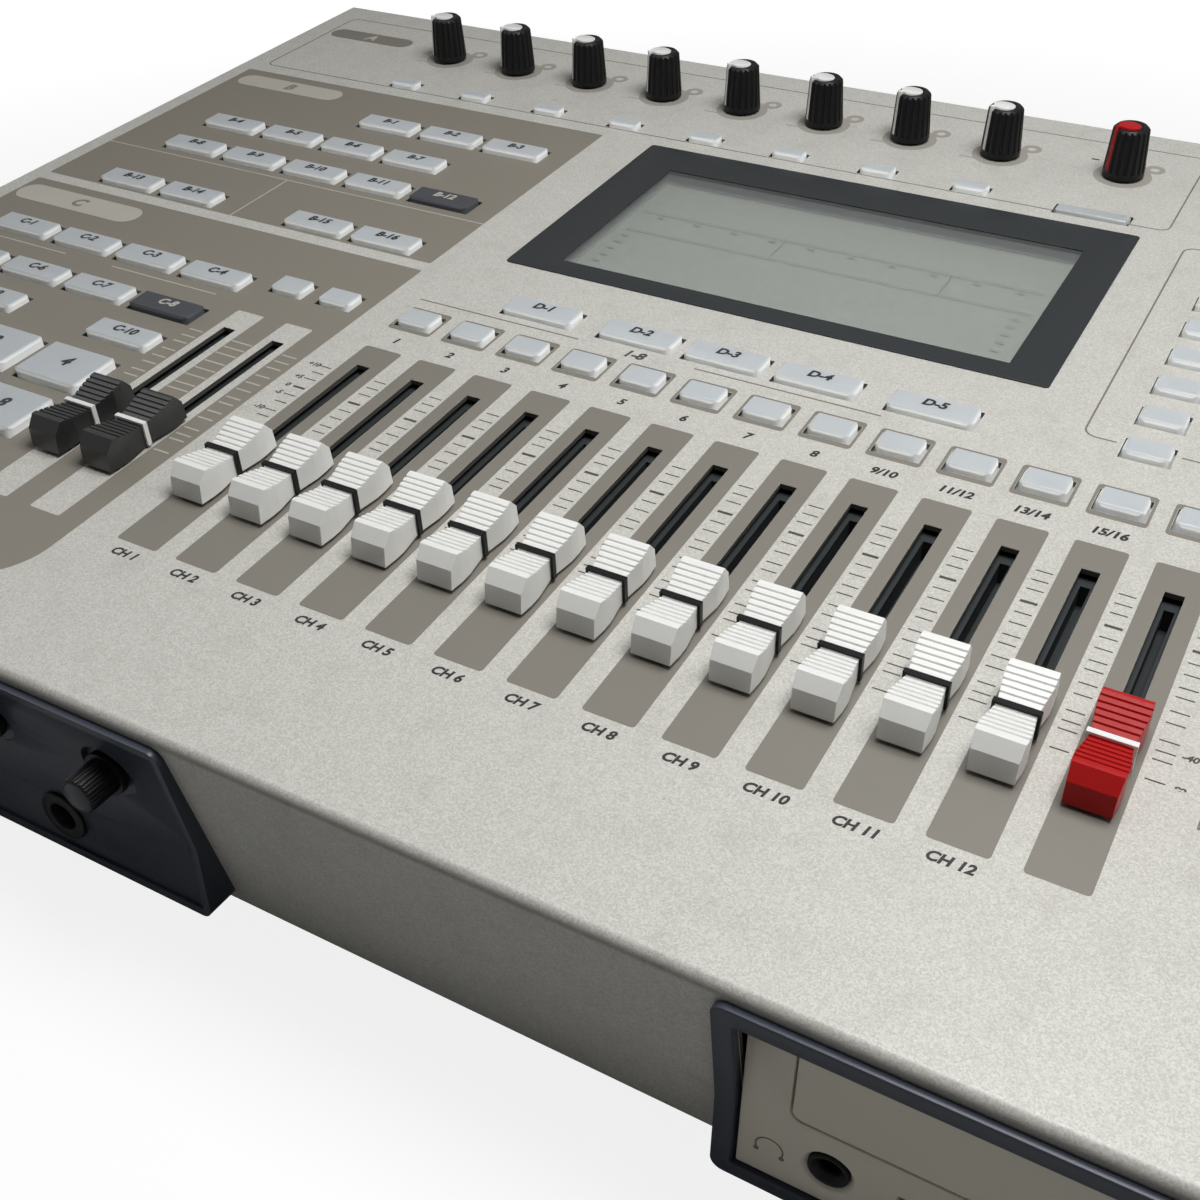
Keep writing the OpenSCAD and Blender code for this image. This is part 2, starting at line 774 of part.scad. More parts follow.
module rear_panel() {
    half = case_w / 2 - sheet_t - cover_fit;
    power = power_size + 2 * key_fit * [1, 1];
    color(black) difference() {
        case_frame() box([-half, rear_y - sheet_t, floor_z], [half, rear_y, rear_top]);
        for (x = rear_jack_x) rear_socket(x) socket_hole(jack_nose_r);
        for (x = midi_x) rear_socket(x) socket_hole(midi_r);
        rear_socket(inlet_x) socket_hole(inlet_nose_r);
        rear_socket(power_x) tile([0, 0], power[0], power[1], -sheet_t - past, past);
        rear_screws() screw_hole();
    }
}

module socket_hole(r) {
    translate([0, 0, -sheet_t - past]) cylinder(r = r + part_gap, h = sheet_t + 2 * past);
}

module rubber_feet() {
    color(black) for (x = [-foot_x, foot_x], y = foot_y)
        translate([x, y, 0]) cylinder(r1 = foot_r - foot_h / 5, r2 = foot_r, h = foot_h);
}

module cover_screws() {
    color(steel) {
        side_screws() screw();
        rear_screws() screw();
    }
}

// Faders

// Side outline of a cap: upright noses, two ribbed slopes and a flat waist, s along the travel
module cap_outline() {
    flat = band_w / 2 + part_gap;
    run = (crest_s - flat) / rib_count;
    fall = (crest_h - waist_h) / rib_count;
    lean_in = 0.5;
    half = concat(
        [[cap_l / 2, 0], [cap_l / 2 - lean_in, nose_h], [crest_s + run / 2, crest_h]],
        [for (i = [0:rib_count - 1], p = [[0, 0], [0.6, 0], [0.7, 1], [0.9, 1]])
            [crest_s - (i + p[0]) * run, crest_h - (i + p[0]) * fall - p[1] * rib_depth]],
        [[flat, waist_h]]
    );
    polygon(concat(half, [for (i = [len(half) - 1:-1:0]) [-half[i][0], half[i][1]]]));
}

// Plan of a cap: wide ends drawn in to a waist
module cap_plan() {
    flat = band_w / 2 + part_gap;
    end = cap_w / 2;
    shoulder = 0.7 * crest_s;
    polygon([
        [end - rib_depth, cap_l / 2], [end, crest_s], [end, shoulder], [waist_w / 2, flat],
        [waist_w / 2, -flat], [end, -shoulder], [end, -crest_s], [end - rib_depth, -cap_l / 2],
        [rib_depth - end, -cap_l / 2], [-end, -crest_s], [-end, -shoulder], [-waist_w / 2, -flat],
        [-waist_w / 2, flat], [-end, shoulder], [-end, crest_s], [rib_depth - end, cap_l / 2]
    ]);
}

// One fader: cap, band round its waist and the lever that carries it
module fader(x, cap_tone, band_tone) {
    band_half = waist_w / 2 + band_t;
    inner = waist_w / 2 + part_gap;
    panel_frame() translate([x, fader_v, 0]) {
        translate([0, 0, cap_gap]) {
            color(cap_tone) difference() {
                intersection() {
                    along_x(-cap_w / 2, cap_w / 2) cap_outline();
                    linear_extrude(crest_h) cap_plan();
                }
                tile([0, 0], lever_t + 2 * part_gap, lever_l + 2 * part_gap, -past, pocket_h);
            }
            color(band_tone) difference() {
                tile([0, 0], 2 * band_half, band_w, 0, waist_h + band_t);
                tile([0, 0], 2 * inner, band_w + past, -past, waist_h + part_gap);
            }
        }
        color(steel)
            tile([0, 0], lever_t, lever_l, pot_top - lever_slot + seat_gap, cap_gap + pocket_h - part_gap);
    }
}

module fader_bodies() {
    end_play = 0.5;
    color(graphite) panel_frame() for (x = fader_xs) difference() {
        tile([x, slide_v], slide_w, slide_l, board_top, pot_top);
        tile([x, slide_v], 2 * lever_t, fader_travel + lever_l + 2 * end_play,
            pot_top - lever_slot, pot_top + past);
    }
}

// Knobs

// Outside of a knob without its flutes: skirt, tapered side and soft top edge
module knob_form(h) {
    r0 = knob_d / 2;
    rotate_extrude()
        polygon([[0, 0], [r0, 0], [r0, knob_skirt], [knob_top_d / 2, h - knob_soft], [knob_rim, h], [0, h]]);
}

// Insert of a knob, drawn in by an inset: a disc in its top and a pointer that folds down its side
module insert_form(h, inset) {
    w = pointer_w - 2 * inset;
    rotate(pointer_turn) {
        translate([0, 0, h - insert_t + inset]) linear_extrude(h) {
            translate([0, insert_shift]) circle(insert_d / 2 - inset);
            translate([-w / 2, 0]) square([w, knob_d]);
        }
        translate([-w / 2, knob_top_d / 2 - pointer_t + inset, knob_skirt + inset]) cube([w, knob_d, h]);
    }
}

// A fluted knob on its shaft, z out of the face that it stands on
module knob(tone, h, reach) {
    r0 = knob_d / 2;
    taper = atan((r0 - knob_top_d / 2) / (h - knob_skirt));
    color(tone) {
        translate([0, 0, knob_gap]) difference() {
            knob_form(h);
            for (i = [1:flute_count - 1]) rotate([0, 0, 90 + pointer_turn + i * 360 / flute_count])
                translate([r0, 0, knob_skirt]) rotate([0, -taper, 0]) cylinder(r = flute_r, h = h, $fn = 16);
            insert_form(h, 0);
        }
        translate([0, 0, -reach]) cylinder(r = shaft_r, h = reach + knob_gap + knob_skirt);
    }
}

// The insert's top slopes up to its pointer, which stands above the knob's top
module knob_insert(tone, h) {
    r = knob_top_d / 2;
    slope = atan(insert_rise / (insert_d / 2 + r));
    color(tone) translate([0, 0, knob_gap]) intersection() {
        union() {
            knob_form(h);
            cylinder(r = r, h = h + 2 * insert_rise);
        }
        insert_form(h, part_gap);
        rotate(pointer_turn) translate([0, -insert_d / 2, h]) rotate([slope, 0, 0])
            translate([-knob_d, -knob_d, -2 * h]) cube([2 * knob_d, 3 * knob_d, 2 * h]);
    }
}

module panel_knob(x, tone) {
    panel_frame() translate([x, knob_v, 0]) {
        knob(black, knob_h, -pot_top + pot_h - 2 * seat_gap - board_t);
        knob_insert(tone, knob_h);
    }
}

// Front knob: a grooved barrel with a flat disc in its end, on a wider foot
module front_knob(x) {
    reach = jack_wall + pot_h - 2 * seat_gap;
    r = front_knob_d / 2;
    disc_r = front_rim - front_soft;
    knob_frame(x) {
        color(black) {
            translate([0, 0, knob_gap]) difference() {
                union() {
                    cylinder(d = front_foot_d, h = knob_skirt);
                    cylinder(r = r, h = front_knob_h - front_soft);
                    translate([0, 0, front_knob_h - front_soft])
                        cylinder(r1 = r, r2 = front_rim, h = front_soft);
                }
                for (i = [0:knurl_count - 1]) rotate([0, 0, i * 360 / knurl_count])
                    translate([r, 0, knob_skirt]) cylinder(r = knurl_r, h = front_knob_h, $fn = 8);
                translate([0, 0, front_knob_h - insert_t]) cylinder(r = disc_r, h = front_knob_h);
            }
            translate([0, 0, -reach]) cylinder(r = shaft_r, h = reach + knob_gap + knob_skirt);
        }
        color(graphite) translate([0, 0, knob_gap + front_knob_h - insert_t + part_gap])
            cylinder(r = disc_r - part_gap, h = insert_t - part_gap);
    }
}

// Body of a rotary pot or encoder, with a bore for its shaft, top at z = 0
module pot() {
    difference() {
        tile([0, 0], rotary_w, rotary_w, -pot_h, 0);
        translate([0, 0, -pot_h + seat_gap]) cylinder(r = shaft_r + shaft_fit, h = pot_h);
    }
}

module knob_pots() {
    color(steel) {
        panel_frame() {
            for (x = knob_xs) translate([x, knob_v, pot_top]) pot();
            translate([dial_at[0], dial_at[1], pot_top]) pot();
        }
        for (x = front_knob_x) knob_frame(x) translate([0, 0, -jack_wall]) pot();
    }
}

// Jog dial: a shallow wheel with a grooved rim and a finger dimple
module jog_dial() {
    soft = 1.5;
    groove_count = 36;
    panel_frame() translate([dial_at[0], dial_at[1], 0]) color(graphite) {
        translate([0, 0, knob_gap]) difference() {
            rotate_extrude($fn = 96) polygon([
                [0, 0], [dial_r, 0], [dial_r, dial_h - soft], [dial_r - soft, dial_h], [0, dial_h - soft / 2]
            ]);
            for (i = [0:groove_count - 1]) rotate([0, 0, i * 360 / groove_count])
                translate([dial_r, 0, -past]) cylinder(r = flute_r, h = dial_h + 2 * past, $fn = 24);
            translate([-dial_r / 2, 0, dial_h + dimple_r - 2 * soft]) sphere(dimple_r);
        }
        translate([0, 0, board_top + 2 * seat_gap])
            cylinder(r = shaft_r, h = knob_gap + soft - board_top - 2 * seat_gap);
    }
}

// Keys

// Side outline of a key cap: upright walls with a bevelled top edge
module bevelled(w, h) {
    polygon([
        [-w / 2, 0], [w / 2, 0], [w / 2, h - key_bevel],
        [w / 2 - key_bevel, h], [key_bevel - w / 2, h], [-w / 2, h - key_bevel]
    ]);
}

// One key: bevelled cap, retaining flange under the panel and the stem that meets its switch
module key(at, w, l, h) {
    rise = h - flange_top;
    stem = min(w, l) / 2;
    translate([at[0], at[1], 0]) {
        translate([0, 0, flange_top]) intersection() {
            linear_extrude(rise) round_rect(w, l, key_r);
            rotate([90, 0, 0]) linear_extrude(l, center = true) bevelled(w, rise);
            rotate([90, 0, 90]) linear_extrude(w, center = true) bevelled(l, rise);
        }
        tile([0, 0], w + 2 * key_flange, l + 2 * key_flange, flange_top - flange_t, flange_top);
        tile([0, 0], stem, stem, stem_end, flange_top - flange_t / 2);
    }
}

module keys(spots, w, l, h, tone) {
    color(tone) panel_frame() for (at = spots) key(at, w, l, h);
}

// The last key of the third effect row is dark
module effect_keys() {
    dark = effect_spots[11];
    keys([for (at = effect_spots) if (at != dark) at], key_w, key_l, key_h, white);
    keys([dark], key_w, key_l, key_h, graphite);
}

// The last key of the second rhythm row is dark
module rhythm_keys() {
    dark = rhythm_spots[7];
    keys([for (at = rhythm_spots) if (at != dark) at], key_w, key_l, key_h, white);
    keys([dark], key_w, key_l, key_h, graphite);
}

module drum_pads() {
    keys(pad_spots, pad_size[0], pad_size[1], pad_h, white);
}

module track_keys() {
    keys(track_spots, small_w, small_l, key_h, white);
}

module input_keys() {
    keys(input_spots, small_w, input_l, key_h, white);
    keys([wide_at], key_w, input_l, wide_h, white);
}

module screen_keys() {
    keys(screen_spots, key_w, key_l, key_h, white);
}

module parameter_keys() {
    keys(param_spots, small_w, small_l, key_h, white);
    keys(locate_spots, key_w, key_l, key_h, white);
}

module transport_keys() {
    keys(transport_spots, transport_size[0], transport_size[1], key_h, white);
}

// Display

module display_bezel() {
    color(graphite) panel_frame() difference() {
        round_plate(bezel_lo, bezel_hi, bezel_r, 0, bezel_t);
        box([window_lo[0], window_lo[1], -past], [window_hi[0], window_hi[1], bezel_t + past]);
    }
}

module display_window() {
    lo = window_lo - pane_border * [1, 1];
    hi = window_hi + pane_border * [1, 1];
    color("#aab8b4") panel_frame() box([lo[0], lo[1], -sheet_t], [hi[0], hi[1], 0]);
}

module lcd_panel() {
    border = 1.5 * pane_border * [1, 1];
    lo = window_lo - border;
    hi = window_hi + border;
    recess = 0.6;
    color("#92968a") panel_frame() difference() {
        box([lo[0], lo[1], board_top], [hi[0], hi[1], board_top + lcd_t]);
        box([window_lo[0] - past, window_lo[1] - past, board_top + lcd_t - recess],
            [window_hi[0] + past, window_hi[1] + past, board_top + lcd_t + past]);
    }
}

// Boards

module control_board() {
    half = case_w / 2 - board_side;
    switch_w = 6;
    pad_front = pad_at[1] - 2 * pad_pitch[1] - pad_size[1] / 2;
    color(green) panel_frame() {
        box([-half, board_lo, board_top - board_t], [half, board_hi, board_top]);
        box([-half, pad_front, board_top - board_t], [pad_at[0] + pad_size[0] / 2, board_hi, board_top]);
        for (group = key_groups, at = group[0])
            tile(at, switch_w, min(switch_w, group[2]), board_top - board_t / 2, board_top + switch_h);
    }
}

module main_board() {
    z = foot_h + sheet_t + boss_h;
    chip = 2.4;
    inset = 30;
    color(green) {
        box([main_lo[0], main_lo[1], z], [main_hi[0], main_hi[1], z + board_t]);
        for (i = [0:3], s = [16, 24])
            tile(main_lo + inset * [1 + i, 1 + s / 6], s, s, z + board_t / 2, z + board_t + chip);
    }
}

module hard_disk() {
    z = foot_h + sheet_t + boss_h;
    rim = 3;
    color(steel) translate([disk_lo[0], disk_lo[1], z]) difference() {
        cube(disk_size);
        translate([rim, rim, disk_size[2] - past]) cube([disk_size[0] - 2 * rim, disk_size[1] / 5, rim]);
    }
}

// Front mouldings

// Section of a front moulding, from its front outline back to the flange, set back by an inset
module moulding_section(inset, top, foot) {
    y0 = face_y(top) + inset;
    y1 = frame_p1[0] + inset;
    polygon([
        [-top * tan(lean), top], [y0, top], [y1, frame_p1[1]], [y1, foot], [-foot * tan(lean), foot]
    ]);
}

// Moulding between two places across, with round corners
module moulding(x0, x1) {
    top = frame_p0[1];
    deep = frame_p1[0] - case_z;
    intersection() {
        along_x(x0, x1) moulding_section(0, top, frame_foot);
        translate([(x0 + x1) / 2, deep, (top + frame_foot) / 2]) rotate([90, 0, 0])
            linear_extrude(2 * deep) round_rect(x1 - x0, top - frame_foot, frame_r);
    }
}

module jack_bezel() {
    x0 = jack_bezel_x[0];
    x1 = jack_bezel_x[1];
    top = frame_p0[1];
    bore = jack_nose_r + part_gap;
    color(black) difference() {
        union() {
            case_frame() difference() {
                moulding(x0, x1);
                along_x(x0 + rim_w, x1 - rim_w) difference() {
                    moulding_section(-past, top - rim_w, frame_foot + rim_w);
                    moulding_section(rim_depth, top - rim_w, frame_foot + rim_w);
                }
                jack_bezel_hollow();
            }
            for (x = front_knob_x) knob_boss(x);
        }
        for (x = front_knob_x) knob_frame(x) {
            cylinder(r = knob_seat_r, h = 2 * kink_proud);
            translate([0, 0, -jack_wall - past]) cylinder(r = shaft_r + past / 2, h = jack_wall + 2 * past);
            tile([0, 0], rotary_w + seat_gap, rotary_w + seat_gap, -2 * rotary_w, -jack_wall);
        }
        for (x = front_jack_x) front_socket(x, front_jack_y, -front_jack_drop)
            translate([0, 0, -jack_wall - past]) cylinder(r = bore, h = jack_wall + 2 * past);
    }
}

// Boss behind the jack bezel's upper face that carries the seat of a front knob
module knob_boss(x) {
    r = knob_seat_r + jack_wall;
    top = -front_knob_drop + r;
    low = -front_knob_drop - r;
    inset = rim_depth + jack_wall / 2;
    intersection() {
        knob_frame(x) translate([0, 0, -jack_wall]) cylinder(r = r, h = 2 * kink_proud);
        case_frame() along_x(x - r, x + r) polygon([
            [face_y(top) + inset, top], [face_y(low) + inset, low], [-case_z, low], [-case_z, top]
        ]);
    }
}

// Hollow behind the jack bezel's lower face
module jack_bezel_hollow() {
    y = front_jack_y + jack_wall;
    z0 = -front_jack_drop - jack_body_r - past;
    z1 = frame_p1[1] - kink_proud / 2;
    box([jack_bezel_x[0] + seat_w, y, z0], [jack_bezel_x[1] - seat_w, -case_z, z1]);
}

// Quarter inch jack: ring outside, nose through a wall, body behind, z out of the mouth
module jack(wall) {
    difference() {
        union() {
            cylinder(r = jack_ring_r, h = jack_ring_t);
            translate([0, 0, -wall]) cylinder(r = jack_nose_r, h = wall + jack_ring_t / 2);
            translate([0, 0, -jack_bore_l]) cylinder(r = jack_body_r, h = jack_bore_l - wall);
        }
        translate([0, 0, jack_ring_t - jack_bore_l + past]) cylinder(r = jack_bore_r, h = jack_bore_l);
    }
}

module mini_jack() {
    translate([0, 0, -mini_l]) difference() {
        union() {
            cylinder(r = mini_barrel_r, h = mini_l);
            cylinder(r = mini_barrel_r + past, h = mini_l - drive_bezel_t);
        }
        translate([0, 0, past]) cylinder(r = mini_bore_r, h = mini_l);
        translate([0, 0, mini_l - mini_mouth])
            cylinder(r1 = mini_bore_r, r2 = mini_bore_r + mini_mouth, h = mini_mouth + part_gap);
    }
}

module front_jacks() {
    color(black) {
        for (x = front_jack_x) front_socket(x, front_jack_y, -front_jack_drop) jack(jack_wall);
        front_socket(row_x[0], drive_front, row_z) mini_jack();
    }
}

// Disc drive

module drive_frame() {
    color(black) case_frame() difference() {
        moulding(drive_frame_x[0], drive_frame_x[1]);
        drive_window(-case_z);
    }
}

// Outline of the tray door on the bezel, grown by a clearance, from the bezel's front to a depth
module door_block(grow, y0, y1) {
    translate([door_x + door_w / 2, y1, door_foot + door_h / 2]) rotate([90, 0, 0])
        linear_extrude(y1 - y0) round_rect(door_w + 2 * grow, door_h + 2 * grow, door_r + grow);
}

module drive_bezel() {
    chord = wheel_r + 2 * wheel_fit;
    eject = eject_size / 2 + door_fit * [1, 1];
    color(cream) case_frame() difference() {
        box([drive_x[0], drive_front, drive_foot], [drive_x[1], drive_back, drive_foot + drive_bezel_h]);
        door_block(door_fit, drive_front - past, drive_back + past);
        translate([row_x[0], drive_back + past, row_z]) rotate([90, 0, 0])
            cylinder(r = mini_barrel_r + part_gap, h = drive_bezel_t + 2 * past);
        translate([row_x[0], drive_front + mini_sink, row_z]) rotate([90, 0, 0])
            cylinder(r1 = mini_barrel_r, r2 = mini_barrel_r + 2 * mini_sink, h = 2 * mini_sink);
        box([row_x[1] - chord, drive_front - past, row_z - wheel_t / 2 - wheel_fit],
            [row_x[1] + chord, drive_back + past, row_z + wheel_t / 2 + wheel_fit]);
        box([row_x[2] - eject[0], drive_front - past, row_z - eject[1]],
            [row_x[2] + eject[0], drive_back + past, row_z + eject[1]]);
    }
}

module drive_case() {
    x0 = drive_x[0] + drive_case_side;
    x1 = drive_x[1] - drive_case_side;
    eject = eject_size / 2 + (button_flange + door_fit) * [1, 1];
    eject_deep = seat_gap + button_flange + eject_travel + past;
    color(steel) case_frame() {
        difference() {
            box([x0, drive_back, drive_foot], [x1, drive_back + drive_case_l, drive_top]);
            box([tray_x - seat_gap, drive_back - past, tray_foot - seat_gap],
                [tray_x + tray_w + seat_gap, drive_back + tray_l + past, door_top - door_h / 8]);
            translate([row_x[0], drive_back + pocket_l, row_z]) rotate([90, 0, 0])
                cylinder(r = mini_barrel_r + past + seat_gap, h = pocket_l + past);
            wheel_pocket();
            box([row_x[2] - eject[0], drive_back - past, row_z - eject[1]],
                [row_x[2] + eject[0], drive_back + eject_deep, row_z + eject[1]]);
        }
        translate([row_x[1], wheel_y, row_z - wheel_t]) cylinder(r = wheel_pin_r, h = 2 * wheel_t);
    }
}

// Space for the thumb wheel behind the bezel
module wheel_pocket() {
    r = wheel_r + wheel_fit;
    box([row_x[1] - r, drive_back - past, row_z - wheel_t / 2 - wheel_fit],
        [row_x[1] + r, wheel_y + r, row_z + wheel_t / 2 + wheel_fit]);
}

module disc_tray() {
    disc_x = tray_x + tray_w / 2;
    disc_y = drive_back + disc_r + disc_edge;
    dish = 1.6;
    hub_r = 16;
    color(cream) case_frame() {
        difference() {
            union() {
                door_block(0, drive_front, drive_back);
                box([tray_x, drive_back - past, tray_foot],
                    [tray_x + tray_w, drive_back + tray_l, tray_foot + tray_t]);
            }
            translate([disc_x, disc_y, tray_foot + tray_t - dish]) cylinder(r = disc_r, h = tray_t, $fn = 96);
            translate([disc_x, disc_y, tray_foot - past]) cylinder(r = hub_r, h = tray_t + 2 * past);
            box([disc_x - hub_r, disc_y, tray_foot - past],
                [disc_x + hub_r, drive_back + tray_l - hub_r, tray_foot + tray_t + past]);
        }
    }
}

module eject_button() {
    half = eject_size / 2;
    wide = half + button_flange * [1, 1];
    back = drive_back + seat_gap;
    color(cream) case_frame() {
        box([row_x[2] - half[0], drive_front - eject_travel / 2, row_z - half[1]],
            [row_x[2] + half[0], back + button_flange / 2, row_z + half[1]]);
        box([row_x[2] - wide[0], back, row_z - wide[1]],
            [row_x[2] + wide[0], back + button_flange, row_z + wide[1]]);
    }
}

module volume_wheel() {
    groove_count = 24;
    groove_r = 0.4;
    color(cream) case_frame() translate([row_x[1], wheel_y, row_z - wheel_t / 2]) difference() {
        cylinder(r = wheel_r, h = wheel_t);
        translate([0, 0, -past]) cylinder(r = wheel_pin_r + shaft_fit, h = wheel_t + 2 * past);
        for (i = [0:groove_count - 1]) rotate([0, 0, i * 360 / groove_count])
            translate([wheel_r, 0, -past]) cylinder(r = groove_r, h = wheel_t + 2 * past, $fn = 16);
    }
}

// Rear sockets

module rear_jacks() {
    color(black) for (x = rear_jack_x) rear_socket(x) jack(sheet_t);
}

// Five-pole round socket: a shell groove and five pin holes in its face
module midi_socket() {
    shell_rim = 1;
    groove_r = midi_r - shell_rim;
    pin_circle = 5;
    pin_r = 0.9;
    deep = 6;
    difference() {
        union() {
            translate([0, 0, -sheet_t]) cylinder(r = midi_r, h = sheet_t + jack_ring_t);
            translate([0, 0, -rear_body_l]) cylinder(r = midi_r + past, h = rear_body_l - sheet_t);
        }
        translate([0, 0, -deep]) difference() {
            cylinder(r = groove_r, h = 2 * deep);
            translate([0, 0, -past]) cylinder(r = groove_r - past / 2, h = 2 * deep + 2 * past);
        }
        for (i = [0:4]) rotate([0, 0, i * 45])
            translate([pin_circle, 0, -deep]) cylinder(r = pin_r, h = 2 * deep);
    }
}

module midi_sockets() {
    color(black) for (x = midi_x) rear_socket(x) midi_socket();
}

module power_inlet() {
    pin_r = 1;
    body = 2 * inlet_nose_r + 2 * past;
    color(black) rear_socket(inlet_x) {
        difference() {
            union() {
                translate([0, 0, -sheet_t]) cylinder(r = inlet_nose_r, h = sheet_t + jack_ring_t);
                tile([0, 0], body, body, -rear_body_l, -sheet_t);
            }
            translate([0, 0, -rear_body_l + past]) cylinder(r = inlet_bore_r, h = 2 * rear_body_l);
        }
        translate([0, 0, -rear_body_l + past / 2]) cylinder(r = pin_r, h = rear_body_l - sheet_t);
    }
}

module power_switch() {
    back = -sheet_t - seat_gap;
    flange = power_size + 2 * key_flange * [1, 1];
    color(black) rear_socket(power_x) {
        tile([0, 0], power_size[0], power_size[1], back - flange_t / 2, power_proud);
        tile([0, 0], flange[0], flange[1], back - flange_t, back);
    }
}

top_cover();
base_tray();
rear_panel();
main_board();
control_board();
hard_disk();
fader_bodies();
knob_pots();
lcd_panel();
display_window();
display_bezel();
jack_bezel();
front_jacks();
drive_frame();
drive_bezel();
drive_case();
rear_jacks();
midi_sockets();
power_inlet();
cover_screws();
rubber_feet();
for (i = [1:track_count])
    fader(track_x[i - 1], white, black);
fader(track_x[track_count], scarlet, white);  // master_fader
fader(rhythm_fader_x[0], graphite, white);  // drum_fader
fader(rhythm_fader_x[1], graphite, white);  // bass_fader
for (i = [1:knob_count])
    panel_knob(input_x[i - 1], white);
panel_knob(level_x, scarlet);  // level_knob
front_knob(front_knob_x[0]);  // sub_out_knob
front_knob(front_knob_x[1]);  // phones_knob
jog_dial();
disc_tray();
eject_button();
volume_wheel();
power_switch();
effect_keys();
rhythm_keys();
drum_pads();
track_keys();
input_keys();
screen_keys();
parameter_keys();
transport_keys();
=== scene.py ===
"""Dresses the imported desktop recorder.

Finishes, the printed panel, soft-edged controls, light and the camera.
"""

from __future__ import annotations

import json
import logging
import math
from dataclasses import dataclass, replace
from enum import Enum, IntEnum
from typing import Any, Callable, Iterable, Mapping, Sequence

import bmesh
import bpy
from mathutils import Matrix, Vector

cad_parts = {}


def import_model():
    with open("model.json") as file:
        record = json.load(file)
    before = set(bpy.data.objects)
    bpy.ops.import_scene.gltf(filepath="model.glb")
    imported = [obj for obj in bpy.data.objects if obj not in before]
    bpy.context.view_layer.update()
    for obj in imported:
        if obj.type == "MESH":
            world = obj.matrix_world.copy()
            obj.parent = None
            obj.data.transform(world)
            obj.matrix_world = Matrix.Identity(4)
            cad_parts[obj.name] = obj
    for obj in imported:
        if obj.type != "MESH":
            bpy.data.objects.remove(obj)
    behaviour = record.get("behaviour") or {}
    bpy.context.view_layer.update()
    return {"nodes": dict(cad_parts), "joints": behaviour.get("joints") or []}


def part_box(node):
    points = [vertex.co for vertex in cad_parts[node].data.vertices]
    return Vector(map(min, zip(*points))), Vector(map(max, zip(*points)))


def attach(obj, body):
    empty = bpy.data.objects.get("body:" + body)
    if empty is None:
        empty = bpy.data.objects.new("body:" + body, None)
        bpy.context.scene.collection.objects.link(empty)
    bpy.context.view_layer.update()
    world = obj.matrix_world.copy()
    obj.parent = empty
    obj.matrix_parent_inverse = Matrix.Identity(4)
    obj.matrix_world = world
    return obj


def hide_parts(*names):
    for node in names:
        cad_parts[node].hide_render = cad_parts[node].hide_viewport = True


LOG = logging.getLogger("recorder")
MM = 0.001
CASE = "case"
PAINT_SLOT = "silver_paint"
# Place of the input knobs up the panel's slope, and half the thickness of print, in millimetres
KNOB_ROW_V = 304.4
PRINT_H = 0.03
# Sockets of a colour Mix node: factor, two colours, and the result
MIX_INPUTS = (0, 6, 7)
MIX_OUTPUT = 2

Colour = tuple[float, float, float]
Place = tuple[float, float, float]
Point = tuple[float, float]
Box = tuple[float, float, float, float]
Stops = tuple[Point, ...]


def linear(red: int, green: int, blue: int) -> Colour:
    """Turns a display colour of 0 to 255 into linear light.

    Args:
        red: Red part.
        green: Green part.
        blue: Blue part.

    Returns:
        The three linear parts.
    """
    def channel(value: int) -> float:
        """Undoes the display curve of one part."""
        share = value / 255
        return share / 12.92 if share <= 0.04045 else ((share + 0.055) / 1.055) ** 2.4

    return channel(red), channel(green), channel(blue)


def scaled(colour: Colour, factor: float) -> Colour:
    """A lighter or darker shade of a colour, held at white."""
    return tuple(min(1.0, part * factor) for part in colour)


def grey(level: float) -> Colour:
    """A grey of that level."""
    return level, level, level


class Wire:
    """A value socket whose Python operators add Math nodes."""

    def __init__(self, graph: "Graph", socket: bpy.types.NodeSocket) -> None:
        """Keeps the graph and the socket."""
        self.graph = graph
        self.socket = socket

    def math(self, operation: str, *values: Any) -> "Wire":
        """Adds one Math node.

        Args:
            operation: The Math node's operation.
            values: Wires or numbers, in the order of its sockets.

        Returns:
            The node's result.
        """
        sockets = dict(enumerate(values))
        node = self.graph.add("ShaderNodeMath", {"operation": operation}, sockets)
        return Wire(self.graph, node.outputs[0])

    def __add__(self, other: Any) -> "Wire":
        """Sum."""
        return self.math("ADD", self, other)

    def __radd__(self, other: Any) -> "Wire":
        """Sum with a number on the left."""
        return self.math("ADD", other, self)

    def __sub__(self, other: Any) -> "Wire":
        """Difference."""
        return self.math("SUBTRACT", self, other)

    def __rsub__(self, other: Any) -> "Wire":
        """Difference with a number on the left."""
        return self.math("SUBTRACT", other, self)

    def __mul__(self, other: Any) -> "Wire":
        """Product."""
        return self.math("MULTIPLY", self, other)

    def __rmul__(self, other: Any) -> "Wire":
        """Product with a number on the left."""
        return self.math("MULTIPLY", other, self)

    def __truediv__(self, other: Any) -> "Wire":
        """Quotient."""
        return self.math("DIVIDE", self, other)

    def __rtruediv__(self, other: Any) -> "Wire":
        """Quotient with a number on the left."""
        return self.math("DIVIDE", other, self)

    def __pow__(self, other: Any) -> "Wire":
        """Power."""
        return self.math("POWER", self, other)

    def __abs__(self) -> "Wire":
        """Size without sign."""
        return self.math("ABSOLUTE", self)

    def least(self, other: Any) -> "Wire":
        """The smaller of two."""
        return self.math("MINIMUM", self, other)

    def most(self, other: Any) -> "Wire":
        """The larger of two."""
        return self.math("MAXIMUM", self, other)

    def above(self, other: Any) -> "Wire":
        """One where the value is greater, else nought."""
        return self.math("GREATER_THAN", self, other)

    def clamped(self) -> "Wire":
        """The value held between nought and one."""
        return self.most(0.0).least(1.0)


